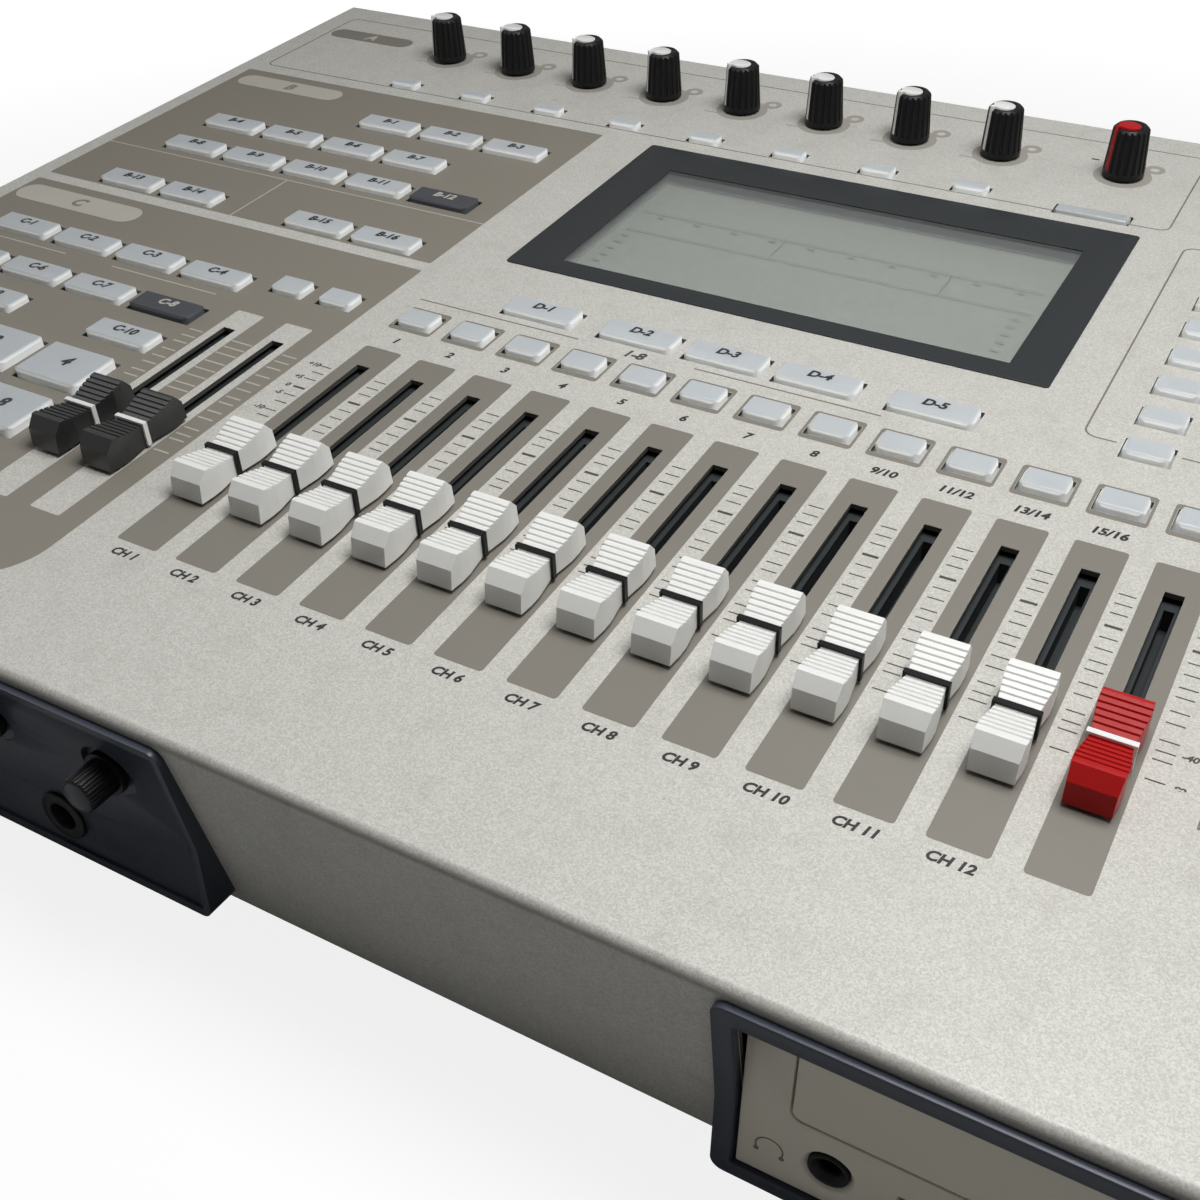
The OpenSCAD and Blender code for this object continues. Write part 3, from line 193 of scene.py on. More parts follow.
class Graph:
    """A node tree that is filled from Python."""

    def __init__(self, tree: bpy.types.NodeTree) -> None:
        """Keeps the tree."""
        self.tree = tree

    def add(
        self,
        kind: str,
        settings: Mapping[str, Any] | None = None,
        sockets: Mapping[Any, Any] | None = None,
    ) -> bpy.types.Node:
        """Adds a node of any kind.

        Args:
            kind: The node's type name.
            settings: Its properties, set first; "stops" fills a colour ramp.
            sockets: Values or links of its input sockets, by name or index.

        Returns:
            The new node.
        """
        node = self.tree.nodes.new(kind)
        for name, value in (settings or {}).items():
            if name == "stops":
                self.set_stops(node.color_ramp, value)
            else:
                setattr(node, name, value)
        for name, value in (sockets or {}).items():
            self.feed(node.inputs[name], value)
        return node

    @staticmethod
    def set_stops(ramp: bpy.types.ColorRamp, stops: Stops) -> None:
        """Gives a ramp grey stops.

        Args:
            ramp: The ramp.
            stops: Pairs of place and grey level.
        """
        while len(ramp.elements) < len(stops):
            ramp.elements.new(0.5)
        for element, (place, level) in zip(ramp.elements, stops):
            element.position = place
            element.color = (level, level, level, 1.0)

    def feed(self, socket: bpy.types.NodeSocket, value: Any) -> None:
        """Links or sets one input socket.

        Args:
            socket: The input socket.
            value: A wire, an output socket or a plain value.
        """
        if isinstance(value, Wire):
            self.tree.links.new(value.socket, socket)
        elif isinstance(value, bpy.types.NodeSocket):
            self.tree.links.new(value, socket)
        elif socket.type == "RGBA" and len(value) == 3:
            socket.default_value = (*value, 1.0)
        else:
            socket.default_value = value


@dataclass(frozen=True)
class PanelFrame:
    """Where the sloping panel lies: x across, v up the slope and h out of it, in millimetres."""

    y: float
    z: float
    tilt: float

    @classmethod
    def from_joint(cls, joint: Mapping[str, Any], v: float) -> "PanelFrame":
        """Finds the panel from a knob's joint, whose axis points into the panel.

        Args:
            joint: The knob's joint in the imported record.
            v: The knob's place up the slope, in millimetres.

        Returns:
            The panel's frame.
        """
        _, along, down = joint["axis"]
        _, y, z = joint["pos_m"]
        return cls(y + v * MM * down, z - v * MM * along, math.atan2(along, -down))

    @property
    def matrix(self) -> Matrix:
        """Local millimetres to the object's metres."""
        place = Matrix.Translation((0.0, self.y, self.z))
        return place @ Matrix.Rotation(self.tilt, 4, "X") @ Matrix.Scale(MM, 4)

    def local(self, point: Vector) -> Vector:
        """A point of the object in the panel's millimetres."""
        return self.matrix.inverted() @ Vector(point)


class Surface(Graph):
    """One node material round a Principled shader."""

    def __init__(self, name: str) -> None:
        """Makes the material.

        Args:
            name: The material's name.
        """
        self.material = bpy.data.materials.new(name)
        self.material.use_nodes = True
        super().__init__(self.material.node_tree)
        self.shader = self.tree.nodes["Principled BSDF"]

    def millimetres(self, panel: PanelFrame | None = None) -> bpy.types.NodeSocket:
        """Object coordinates in millimetres, on the panel's axes where one is given.

        Args:
            panel: The panel's frame, or None for the object's own axes.

        Returns:
            The vector socket.
        """
        source = self.add("ShaderNodeTexCoord")
        sockets = {
            "Vector": source.outputs["Object"],
            "Location": (0.0, panel.y, panel.z) if panel else (0.0, 0.0, 0.0),
            "Rotation": (panel.tilt, 0.0, 0.0) if panel else (0.0, 0.0, 0.0),
            "Scale": (MM, MM, MM),
        }
        node = self.add("ShaderNodeMapping", {"vector_type": "TEXTURE"}, sockets)
        return node.outputs["Vector"]

    def parts(self, vector: bpy.types.NodeSocket) -> tuple[Wire, ...]:
        """The three values of a vector."""
        node = self.add("ShaderNodeSeparateXYZ", None, {"Vector": vector})
        return tuple(Wire(self, output) for output in node.outputs)

    def noise(self, vector: bpy.types.NodeSocket, scale: float, detail: float = 2.0) -> Wire:
        """Soft noise of nought to one, with its waves for each unit and finer waves on top."""
        sockets = {"Vector": vector, "Scale": scale, "Detail": detail}
        return Wire(self, self.add("ShaderNodeTexNoise", None, sockets).outputs[0])

    def level(self, colour: bpy.types.NodeSocket) -> Wire:
        """The first part of a colour, as a value."""
        return Wire(self, self.add("ShaderNodeSeparateColor", None, {"Color": colour}).outputs[0])

    def speckle(self, vector: bpy.types.NodeSocket, scale: float) -> Wire:
        """Small cells of random level, as flakes in paint.

        Args:
            vector: Coordinates.
            scale: Cells for each unit of the coordinates.

        Returns:
            The level of the cell.
        """
        sockets = {"Vector": vector, "Scale": scale}
        node = self.add("ShaderNodeTexVoronoi", {"feature": "F1"}, sockets)
        return self.level(node.outputs["Color"])

    def ramp(self, value: Wire, stops: Stops) -> Wire:
        """A grey ramp over a value."""
        node = self.add("ShaderNodeValToRGB", {"stops": stops}, {"Fac": value})
        return self.level(node.outputs["Color"])

    def mix(self, low: Any, high: Any, share: Any) -> bpy.types.NodeSocket:
        """Mixes two colours by a share.

        Args:
            low: Colour at nought.
            high: Colour at one.
            share: Wire or number.

        Returns:
            The colour socket.
        """
        sockets = dict(zip(MIX_INPUTS, (share, low, high)))
        node = self.add("ShaderNodeMix", {"data_type": "RGBA"}, sockets)
        return node.outputs[MIX_OUTPUT]

    def drift(self, tone: Colour, low: float, high: float, share: Wire) -> bpy.types.NodeSocket:
        """A tone that wanders between a darker and a lighter shade of itself."""
        return self.mix(scaled(tone, low), scaled(tone, high), share)

    def bump(self, height: Wire, strength: float, rise: float) -> None:
        """Feeds a bump to the shader's normal.

        Args:
            height: The height.
            strength: Share of the bump.
            rise: Height of a full step, in millimetres.
        """
        sockets = {"Strength": strength, "Distance": rise * MM, "Height": height}
        node = self.add("ShaderNodeBump", None, sockets)
        self.feed(self.shader.inputs["Normal"], node.outputs["Normal"])

    def shade(self, **sockets: Any) -> bpy.types.Material:
        """Sets the shader's sockets, with underscores for spaces in their names.

        Args:
            sockets: Values or links.

        Returns:
            The material.
        """
        for name, value in sockets.items():
            self.feed(self.shader.inputs[name.replace("_", " ")], value)
        return self.material


class Ink(Enum):
    """Inks of the printed panel and keys."""

    TAUPE = linear(126, 122, 113)
    DARK = linear(72, 69, 66)
    BLACK = linear(38, 38, 39)
    PALE = linear(184, 180, 170)
    LINE = linear(122, 117, 108)
    # SHADE prints small marks and also the painted shade ring round each knob's foot
    SHADE = linear(160, 156, 148)


@dataclass(frozen=True)
class Moulding:
    """Moulded plastic: a drifting tone, a fine grain, handling marks and, on keys, a painted
    bright rim for light glowing through the sides.
    """

    name: str
    tone: Colour
    roughness: float
    drift: float = 0.06
    grain: float = 0.015
    glow: float = 0.0
    specular: float = 0.5
    wear: float = 0.08
    # Painted light on key sides: the rim's tone, the height it starts from and its width
    rim: Colour | None = None
    rim_top: float = 1.6
    rim_w: float = 0.55
    cloud_scale: float = 0.09
    cloud_share: float = 0.7
    grain_scale: float = 6.0
    grain_bump: float = 0.25
    mark_scale: float = 0.7
    mark_stops: Stops = ((0.5, 0.0), (0.75, 1.0))
    gloss_drift: float = 0.1
    glow_radius: Colour = (1.0, 0.9, 0.8)
    glow_depth: float = 0.002

    def material(self, panel: PanelFrame | None = None) -> bpy.types.Material:
        """Builds the material.

        Args:
            panel: The panel's frame, for the painted rim light below the top of a cap.

        Returns:
            The material.
        """
        surface = Surface(self.name)
        at = surface.millimetres()
        cloud = surface.noise(at, self.cloud_scale, detail=3.0)
        grain = surface.noise(at, self.grain_scale)
        marks = surface.ramp(surface.noise(at, self.mark_scale, detail=6.0), self.mark_stops)
        share = cloud * self.cloud_share + grain * (1 - self.cloud_share)
        tone = surface.drift(self.tone, 1 - self.drift, 1 + self.drift, share)
        # Painted light: a key's sides below its top blend towards a bright rim tone
        if self.rim and panel:
            _, _, height = surface.parts(surface.millimetres(panel))
            edge = ((self.rim_top - height) / self.rim_w).clamped()
            tone = surface.mix(tone, self.rim, edge)
        surface.bump(grain, self.grain_bump, self.grain)
        return surface.shade(
            Base_Color=tone,
            Roughness=(cloud - 0.5) * self.gloss_drift + marks * self.wear + self.roughness,
            Specular_IOR_Level=self.specular,
            Subsurface_Weight=self.glow,
            Subsurface_Radius=self.glow_radius,
            Subsurface_Scale=self.glow_depth,
        )


@dataclass(frozen=True)
class Metal:
    """Bare or plated metal with a fine brushed line."""

    name: str
    tone: Colour
    roughness: float
    stretch: float = 30.0
    line_scale: float = 0.12
    line_bump: float = 0.15
    line_h: float = 0.01
    cloud_scale: float = 0.08
    dull: float = 0.82
    gloss_drift: float = 0.12

    def material(self) -> bpy.types.Material:
        """Builds the material.

        Returns:
            The material.
        """
        surface = Surface(self.name)
        at = surface.millimetres()
        sockets = {"Vector": at, "Scale": (1.0, self.stretch, self.stretch)}
        drawn = surface.add("ShaderNodeMapping", None, sockets).outputs["Vector"]
        lines = surface.noise(drawn, self.line_scale, detail=3.0)
        cloud = surface.noise(at, self.cloud_scale, detail=3.0)
        surface.bump(lines, self.line_bump, self.line_h)
        return surface.shade(
            Base_Color=surface.drift(self.tone, self.dull, 1.0, lines * 0.5 + cloud * 0.5),
            Metallic=1.0,
            Roughness=(lines - 0.5) * self.gloss_drift + self.roughness,
        )


@dataclass(frozen=True)
class TexturedPaint:
    """Matt black paint with a fine orange-peel texture, as on the underside and the rear."""

    name: str
    tone: Colour
    peel_scale: float = 2.2
    peel_bump: float = 0.35
    peel_h: float = 0.06
    cloud_scale: float = 0.03
    lift: float = 1.5
    roughness: float = 0.5
    gloss_drift: float = 0.16

    def material(self) -> bpy.types.Material:
        """Builds the material.

        Returns:
            The material.
        """
        surface = Surface(self.name)
        at = surface.millimetres()
        peel = surface.noise(at, self.peel_scale)
        cloud = surface.noise(at, self.cloud_scale, detail=4.0)
        surface.bump(peel, self.peel_bump, self.peel_h)
        return surface.shade(
            Base_Color=surface.drift(self.tone, 1.0, self.lift, cloud),
            Roughness=peel * self.gloss_drift + self.roughness,
        )


@dataclass(frozen=True)
class PrintInk:
    """Screen-printed ink: nearly flat, a little uneven."""

    ink: Ink
    fine_scale: float = 4.0
    cloud_scale: float = 0.04
    drift: float = 0.1
    roughness: float = 0.5
    gloss_drift: float = 0.1
    metal: float = 0.1

    def material(self) -> bpy.types.Material:
        """Builds the material.

        Returns:
            The material.
        """
        surface = Surface(f"ink_{self.ink.name.lower()}")
        at = surface.millimetres()
        fine = surface.noise(at, self.fine_scale)
        cloud = surface.noise(at, self.cloud_scale, detail=3.0)
        share = fine * 0.5 + cloud * 0.5
        return surface.shade(
            Base_Color=surface.drift(self.ink.value, 1 - self.drift, 1 + self.drift, share),
            Roughness=fine * self.gloss_drift + self.roughness,
            Metallic=self.metal,
        )


@dataclass(frozen=True)
class Area:
    """A round-cornered printed area of the panel, in millimetres."""

    x0: float
    x1: float
    v0: float
    v1: float
    corner: float
    crispness: float = 8.0

    def mask(self, x: Wire, v: Wire) -> Wire:
        """One inside the area, nought outside.

        Args:
            x: Place across.
            v: Place up the slope.

        Returns:
            The mask.
        """
        reach_x = abs(x - (self.x0 + self.x1) / 2) - ((self.x1 - self.x0) / 2 - self.corner)
        reach_v = abs(v - (self.v0 + self.v1) / 2) - ((self.v1 - self.v0) / 2 - self.corner)
        outside = (reach_x.most(0.0) ** 2.0 + reach_v.most(0.0) ** 2.0) ** 0.5
        edge = outside + reach_x.most(reach_v).least(0.0) - self.corner
        return (0.5 - edge * self.crispness).clamped()


@dataclass(frozen=True)
class SilverPaint:
    """Champagne-silver flake paint of the cover, with its large printed areas, years of use, and
    painted shade along the front bend and on the walls of its holes.
    """

    tone: Colour = linear(199, 198, 191)
    bright: Colour = linear(224, 223, 217)
    deep: Colour = linear(164, 162, 154)
    worn: Colour = linear(140, 135, 127)
    # Tone of wear, also used for the painted shade line along the front bend
    printed: Colour = linear(136, 131, 120)
    # Painted shade on the walls of holes and inside the flange
    cut: Colour = linear(84, 82, 78)
    flake_scale: float = 3.4
    flake_share: float = 0.45
    grit_scale: float = 3.6
    sparkle: float = 0.95
    blotch_scale: float = 0.12
    blotch_wear: float = 0.55
    stain_scale: float = 0.022
    stain_stops: Stops = ((0.45, 0.0), (0.7, 1.0))
    scuff_scale: float = 0.35
    scuff_stops: Stops = ((0.60, 0.0), (0.74, 1.0))
    scuff_wear: float = 0.35
    scuff_gloss: float = 0.12
    speck_scale: float = 0.9
    speck_stops: Stops = ((0.745, 0.0), (0.775, 1.0))
    speck_wear: float = 0.75
    # Painted shade: height, width and strength of a dark line along the front bend
    bend_h: float = 1.6
    bend_w: float = 1.1
    bend_wear: float = 0.6
    print_shade: float = 0.9
    print_grit: float = 0.6
    print_low: float = -0.4
    print_metal: float = 0.08
    pierced: Area = Area(-236.0, 236.0, 5.0, 334.0, 1.0)
    skin: Point = (-1.4, -0.06)
    flange_lean: float = 8.6
    flange_drop: float = 6.0
    flange_v: float = 60.0
    bump_flake: float = 0.4
    bump_share: float = 0.12
    bump_h: float = 0.03
    metal: float = 0.1
    roughness: float = 0.48
    gloss_drift: float = 0.1
    specular: float = 0.3
    areas: tuple[Area, ...] = (
        Area(-232.0, -89.5, 172.7, 268.3, 0.8),
        Area(-232.0, -89.2, 17.0, 168.4, 16.0),
        Area(-232.0, -89.2, 60.0, 168.4, 0.5),
    )
    windows: tuple[Area, ...] = (
        Area(-120.1, -111.5, 41.8, 129.6, 0.6),
        Area(-104.4, -95.8, 41.8, 129.6, 0.6),
    )

    def material(self, panel: PanelFrame) -> bpy.types.Material:
        """Builds the material.

        Args:
            panel: The panel's frame.

        Returns:
            The material.
        """
        surface = Surface("silver_paint")
        at = surface.millimetres(panel)
        x, v, h = surface.parts(at)
        flake = surface.speckle(at, self.flake_scale)
        grit = surface.noise(at, self.grit_scale, detail=3.0)
        sparkle = flake * self.flake_share + grit * (1 - self.flake_share)
        paint = surface.mix(self.deep, self.bright, sparkle)
        paint = surface.mix(self.tone, paint, self.sparkle)
        printed = self.print_mask(x, v, h)
        share = grit * self.print_grit + flake * (1 - self.print_grit)
        ink = surface.drift(self.printed, self.print_shade, 1.0, share)
        paint = surface.mix(paint, ink, printed)
        stain = surface.noise(at, self.stain_scale, detail=4.0)
        scuff = surface.noise(at, self.scuff_scale, detail=8.0)
        scuffed = surface.ramp(stain, self.stain_stops) * surface.ramp(scuff, self.scuff_stops)
        blotch = (surface.noise(at, self.blotch_scale, detail=5.0) - 0.5).most(0.0)
        specks = surface.ramp(surface.noise(at, self.speck_scale), self.speck_stops)
        wear = scuffed * self.scuff_wear + blotch * self.blotch_wear + specks * self.speck_wear
        # Painted shade: a dark line along the front bend joins the wear here
        wear = wear + self.bend_mask(v, h) * self.bend_wear
        paint = surface.mix(paint, self.worn, wear.clamped())
        # Painted shade: hole walls and the inside of the flange turn dark
        paint = surface.mix(paint, self.cut, self.cut_mask(x, v, h))
        coarse = flake * self.bump_flake + grit * (1 - self.bump_flake)
        surface.bump(coarse, self.bump_share, self.bump_h)
        gloss = (grit - 0.5) * self.gloss_drift + scuffed * self.scuff_gloss
        return surface.shade(
            Base_Color=paint,
            Metallic=self.metal - printed * self.print_metal,
            Roughness=gloss + self.roughness,
            Specular_IOR_Level=self.specular,
        )

    def print_mask(self, x: Wire, v: Wire, h: Wire) -> Wire:
        """One on the large printed areas of the panel's face.

        Args:
            x: Place across.
            v: Place up the slope.
            h: Height over the panel.

        Returns:
            The mask.
        """
        mask = self.areas[0].mask(x, v)
        for area in self.areas[1:]:
            mask = mask.most(area.mask(x, v))
        for window in self.windows:
            mask = mask * (1 - window.mask(x, v))
        return mask * h.above(self.print_low)

    def bend_mask(self, v: Wire, h: Wire) -> Wire:
        """One along the front bend, where a dark line of shade is painted."""
        near = (1 - abs(h + self.bend_h) / self.bend_w).clamped()
        return near * (1 - v.above(3 * self.bend_w))

    def cut_mask(self, x: Wire, v: Wire, h: Wire) -> Wire:
        """One on the walls of holes and the inside of the flange, where shade is painted.

        Args:
            x: Place across.
            v: Place up the slope.
            h: Height over the panel.

        Returns:
            The mask.
        """
        low, high = self.skin
        walls = self.pierced.mask(x, v) * h.above(low) * (1 - h.above(high))
        behind = (v + h * math.tan(math.radians(self.flange_lean))).above(-high)
        inside = behind * (1 - h.above(-self.flange_drop)) * (1 - v.above(self.flange_v))
        return walls.most(inside * (1 - abs(x).above(self.pierced.x1)))


@dataclass(frozen=True)
class LiquidCrystal:
    """The display's grey-green face with its faint grid of cells."""

    tone: Colour = linear(131, 137, 127)
    cell: float = 2.4
    cell_edge: float = 6.0
    grid_share: float = 0.35
    cloud_scale: float = 0.015
    deep: float = 0.93
    lift: float = 1.06
    roughness: float = 0.35
    gloss_drift: float = 0.1

    def material(self, panel: PanelFrame) -> bpy.types.Material:
        """Builds the material.

        Args:
            panel: The panel's frame.

        Returns:
            The material.
        """
        surface = Surface("liquid_crystal")
        at = surface.millimetres(panel)
        across, along = (
            part.math("PINGPONG", part * self.cell, 0.5) for part in surface.parts(at)[:2]
        )
        grid = (across.least(along) * self.cell_edge).clamped()
        cloud = surface.noise(at, self.cloud_scale)
        share = grid * self.grid_share + cloud * (1 - self.grid_share)
        return surface.shade(
            Base_Color=surface.drift(self.tone, self.deep, self.lift, share),
            Roughness=cloud * self.gloss_drift + self.roughness,
        )


@dataclass(frozen=True)
class ClearPane:
    """Clear acrylic over the display, with a trace of dust."""

    clean: Colour = (0.75, 0.78, 0.78)
    dusty: Colour = (0.9, 0.9, 0.88)
    dust_scale: float = 0.5
    dust_stops: Stops = ((0.55, 0.0), (0.8, 1.0))
    dust_gloss: float = 0.2
    dust_veil: float = 0.05
    veil: float = 0.1
    roughness: float = 0.06

    def material(self) -> bpy.types.Material:
        """Builds the material.

        Returns:
            The material.
        """
        surface = Surface("clear_pane")
        at = surface.millimetres()
        dust = surface.ramp(surface.noise(at, self.dust_scale, detail=6.0), self.dust_stops)
        return surface.shade(
            Base_Color=surface.mix(self.clean, self.dusty, dust),
            Roughness=dust * self.dust_gloss + self.roughness,
            Alpha=dust * self.dust_veil + self.veil,
        )


@dataclass(frozen=True)
class CircuitBoard:
    """Green solder mask with lighter tracks."""

    mask: Colour = linear(34, 84, 52)
    track: Colour = linear(62, 120, 78)
    track_scale: float = 0.6
    track_w: float = 0.06
    track_share: float = 0.7
    cloud_scale: float = 0.1
    roughness: float = 0.35
    gloss_drift: float = 0.2

    def material(self) -> bpy.types.Material:
        """Builds the material.

        Returns:
            The material.
        """
        surface = Surface("circuit_board")
        at = surface.millimetres()
        sockets = {"Vector": at, "Scale": self.track_scale, "Mortar Size": self.track_w}
        tracks = Wire(surface, surface.add("ShaderNodeTexBrick", None, sockets).outputs["Fac"])
        cloud = surface.noise(at, self.cloud_scale, detail=3.0)
        share = tracks * self.track_share + cloud * (1 - self.track_share)
        return surface.shade(
            Base_Color=surface.mix(self.mask, self.track, share),
            Roughness=cloud * self.gloss_drift + self.roughness,
        )


class Finishes:
    """All finishes of the recorder, made once."""

    def __init__(self, panel: PanelFrame) -> None:
        """Builds each material.

        Args:
            panel: The panel's frame, for finishes that follow the panel.
        """
        self.silver = SilverPaint().material(panel)
        self.black_metal = TexturedPaint("black_metal", linear(34, 34, 36)).material()
        self.key, self.pad, self.low_key = self.milky(panel)
        self.dark_key = Moulding(
            "dark_key_plastic", linear(72, 74, 79), roughness=0.4, drift=0.08, specular=0.3
        ).material()
        self.white = Moulding(
            "white_plastic", linear(233, 233, 230), roughness=0.38, drift=0.03, glow=0.1
        ).material()
        self.red = Moulding(
            "red_plastic", linear(172, 22, 22), roughness=0.44, drift=0.05, specular=0.22
        ).material()
        self.grey = Moulding(
            "grey_plastic", linear(44, 45, 45), roughness=0.3, drift=0.1, specular=0.7
        ).material()
        self.dark = Moulding(
            "dark_plastic", linear(18, 18, 19), roughness=0.42, drift=0.15, specular=0.25
        ).material()
        self.gloss = Moulding(
            "gloss_black", linear(60, 65, 75), roughness=0.3, drift=0.04, grain=0.004,
            specular=0.25, wear=0.02,
        ).material()
        self.charcoal = Moulding(
            "charcoal", linear(48, 51, 53), roughness=0.46, drift=0.06, specular=0.25
        ).material()
        self.slide = Moulding(
            "slide_plastic", linear(48, 52, 53), roughness=0.5, drift=0.08, specular=0.3
        ).material()
        self.cream = Moulding(
            "cream_plastic", linear(222, 216, 199), roughness=0.45, drift=0.03, grain=0.03
        ).material()
        self.rubber = Moulding(
            "rubber", linear(30, 30, 30), roughness=0.75, drift=0.15, grain=0.05
        ).material()
        self.steel = Metal("steel", linear(190, 190, 188), roughness=0.32).material()
        self.alloy = Metal("alloy", linear(176, 178, 180), roughness=0.4).material()
        self.board = CircuitBoard().material()
        self.crystal = LiquidCrystal().material(panel)
        self.pane = ClearPane().material()
        self.inks = {ink: PrintInk(ink).material() for ink in Ink}

    @staticmethod
    def milky(panel: PanelFrame) -> tuple[bpy.types.Material, ...]:
        """Milky plastics with a painted bright rim light, apart from the low key's.

        Args:
            panel: The panel's frame.

        Returns:
            Materials of the keys, the pads and the low key.
        """
        milk, rim = linear(189, 194, 197), linear(236, 238, 237)
        key = Moulding("key_plastic", milk, roughness=0.3, drift=0.04, glow=0.6, rim=rim)
        pad = replace(key, name="pad_plastic", rim_top=2.2)
        low = replace(key, name="low_key_plastic", tone=linear(178, 182, 183), rim=None)
        return tuple(finish.material(panel) for finish in (key, pad, low))


@dataclass(frozen=True)
class Island:
    """One loose solid of a node: where it is and how large, in the panel's millimetres."""

    centre: Vector
    size: Vector
    faces: tuple[int, ...]

    @property
    def top(self) -> float:
        """Height of its top over the panel."""
        return self.centre.z + self.size.z / 2


class Workshop:
    """Makes pieces from the frame: soft-edged copies of nodes, and printed sheets."""

    sharp = math.radians(28)
    flat = math.radians(0.4)
    weld = 2e-6

    def __init__(
        self, nodes: Mapping[str, bpy.types.Object], panel: PanelFrame, finishes: Finishes
    ) -> None:
        """Keeps what every sub-assembly needs.

        Args:
            nodes: CAD node objects by name.
            panel: The panel's frame.
            finishes: The materials.
        """
        self.nodes = nodes
        self.panel = panel
        self.finishes = finishes

    @staticmethod
    def link(name: str, data: bpy.types.Mesh | bpy.types.Curve) -> bpy.types.Object:
        """Puts a mesh or a curve into the scene.

        Args:
            name: The object's name.
            data: Its mesh or curve.

        Returns:
            The object.
        """
        piece = bpy.data.objects.new(name, data)
        bpy.context.scene.collection.objects.link(piece)
        return piece

    @staticmethod
    def flatten(piece: bpy.types.Object) -> bpy.types.Mesh:
        """Turns a piece with modifiers into a plain mesh and removes the piece.

        Args:
            piece: An object with its modifiers.

        Returns:
            The evaluated mesh.
        """
        depsgraph = bpy.context.evaluated_depsgraph_get()
        shown = piece.evaluated_get(depsgraph)
        mesh = bpy.data.meshes.new_from_object(shown, depsgraph=depsgraph)
        bpy.data.objects.remove(piece)
        return mesh

    @classmethod
    def enter(
        cls, name: str, mesh: bpy.types.Mesh, body: str, slot: str, replaced: str | None = None
    ) -> None:
        """Makes a mesh a piece that rides on a body.

        Args:
            name: The piece's name.
            mesh: Its mesh, in metres.
            body: The body that it rides on.
            slot: The record's material slot; not used.
            replaced: The node that it stands for, or None.
        """
        piece = cls.link(name, mesh)
        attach(piece, body)
        if replaced:
            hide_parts(replaced)
        LOG.info("piece %s on %s, %d faces", name, body, len(mesh.polygons))

    def dress(self, material: bpy.types.Material, *names: str) -> None:
        """Gives CAD nodes a finish.

        Args:
            material: The finish.
            names: The nodes.
        """
        for name in names:
            materials = self.nodes[name].data.materials
            for index in range(len(materials)):
                materials[index] = material
            LOG.info("node %s: %s", name, material.name)

    def islands(self, bm: bmesh.types.BMesh) -> list[Island]:
        """Lists the loose solids of a merged mesh.

        Args:
            bm: The mesh.

        Returns:
            The solids.
        """
        inverse = self.panel.matrix.inverted()
        left = set(bm.faces)
        found = []
        while left:
            stack = [left.pop()]
            group = []
            while stack:
                face = stack.pop()
                group.append(face)
                for other in (near for edge in face.edges for near in edge.link_faces):
                    if other in left:
                        left.remove(other)
                        stack.append(other)
            points = [inverse @ vert.co for face in group for vert in face.verts]
            low = Vector(min(point[axis] for point in points) for axis in range(3))
            high = Vector(max(point[axis] for point in points) for axis in range(3))
            faces = tuple(face.index for face in group)
            found.append(Island((low + high) / 2, high - low, faces))
        return found

    def merged(self, node: str) -> bmesh.types.BMesh:
        """A copy of a node's mesh with its triangles joined into whole faces.

        Args:
            node: The node's name.

        Returns:
            The mesh, for the caller to free.
        """
        bm = bmesh.new()
        bm.from_mesh(self.nodes[node].data)
        bmesh.ops.remove_doubles(bm, verts=bm.verts, dist=self.weld)
        bmesh.ops.dissolve_limit(bm, angle_limit=self.flat, verts=bm.verts, edges=bm.edges)
        bm.faces.index_update()
        return bm

    def spots(self, node: str) -> list[Island]:
        """Places and sizes of a node's loose solids.

        Args:
            node: The node's name.

        Returns:
            The solids.
        """
        bm = self.merged(node)
        found = self.islands(bm)
        bm.free()
        return found

    def soften(
        self,
        node: str,
        body: str,
        slot: str,
        edge: float,
        materials: Sequence[bpy.types.Material],
        pick: Callable[[Island], int] = lambda island: 0,
        steps: int = 2,
        above: float | None = None,
        crease: float = 180.0,
    ) -> None:
        """Replaces a node by a copy with rounded edges and one finish for each loose solid.

        Args:
            node: The node's name.
            body: The body that it rides on.
            slot: The record's material slot.
            edge: Radius of its edges, in millimetres.
            materials: The finishes.
            pick: Chooses a finish for a loose solid.
            steps: Steps across a rounded edge.
            above: Height over the panel from which edges are rounded, or None for all.
            crease: Angle in degrees from which an edge between flat facets shows.
        """
        bm = self.merged(node)
        if above is not None:
            self.weigh(bm, above)
        for island in self.islands(bm):
            index = pick(island)
            bm.faces.ensure_lookup_table()
            for face in island.faces:
                bm.faces[face].material_index = index
        mesh = bpy.data.meshes.new(node)
        bm.to_mesh(mesh)
        bm.free()
        for material in materials:
            mesh.materials.append(material)
        mesh.shade_smooth()
        mesh.set_sharp_from_angle(angle=math.radians(crease))
        draft = self.link(f"{node}_draft", mesh)
        bevel = draft.modifiers.new("edges", "BEVEL")
        bevel.width = edge * MM
        bevel.segments = steps
        bevel.limit_method = "ANGLE" if above is None else "WEIGHT"
        bevel.angle_limit = self.sharp
        bevel.miter_outer = "MITER_ARC"
        bevel.harden_normals = True
        self.enter(f"{node}_soft", self.flatten(draft), body, slot, node)

    def weigh(self, bm: bmesh.types.BMesh, above: float) -> None:
        """Marks the sharp edges above a height for rounding.

        Args:
            bm: The mesh.
            above: Height over the panel, in millimetres.
        """
        weight = bm.edges.layers.float.new("bevel_weight_edge")
        for edge in bm.edges:
            high = all(self.panel.local(vert.co).z > above for vert in edge.verts)
            edge[weight] = float(high and edge.calc_face_angle(0.0) > self.sharp)

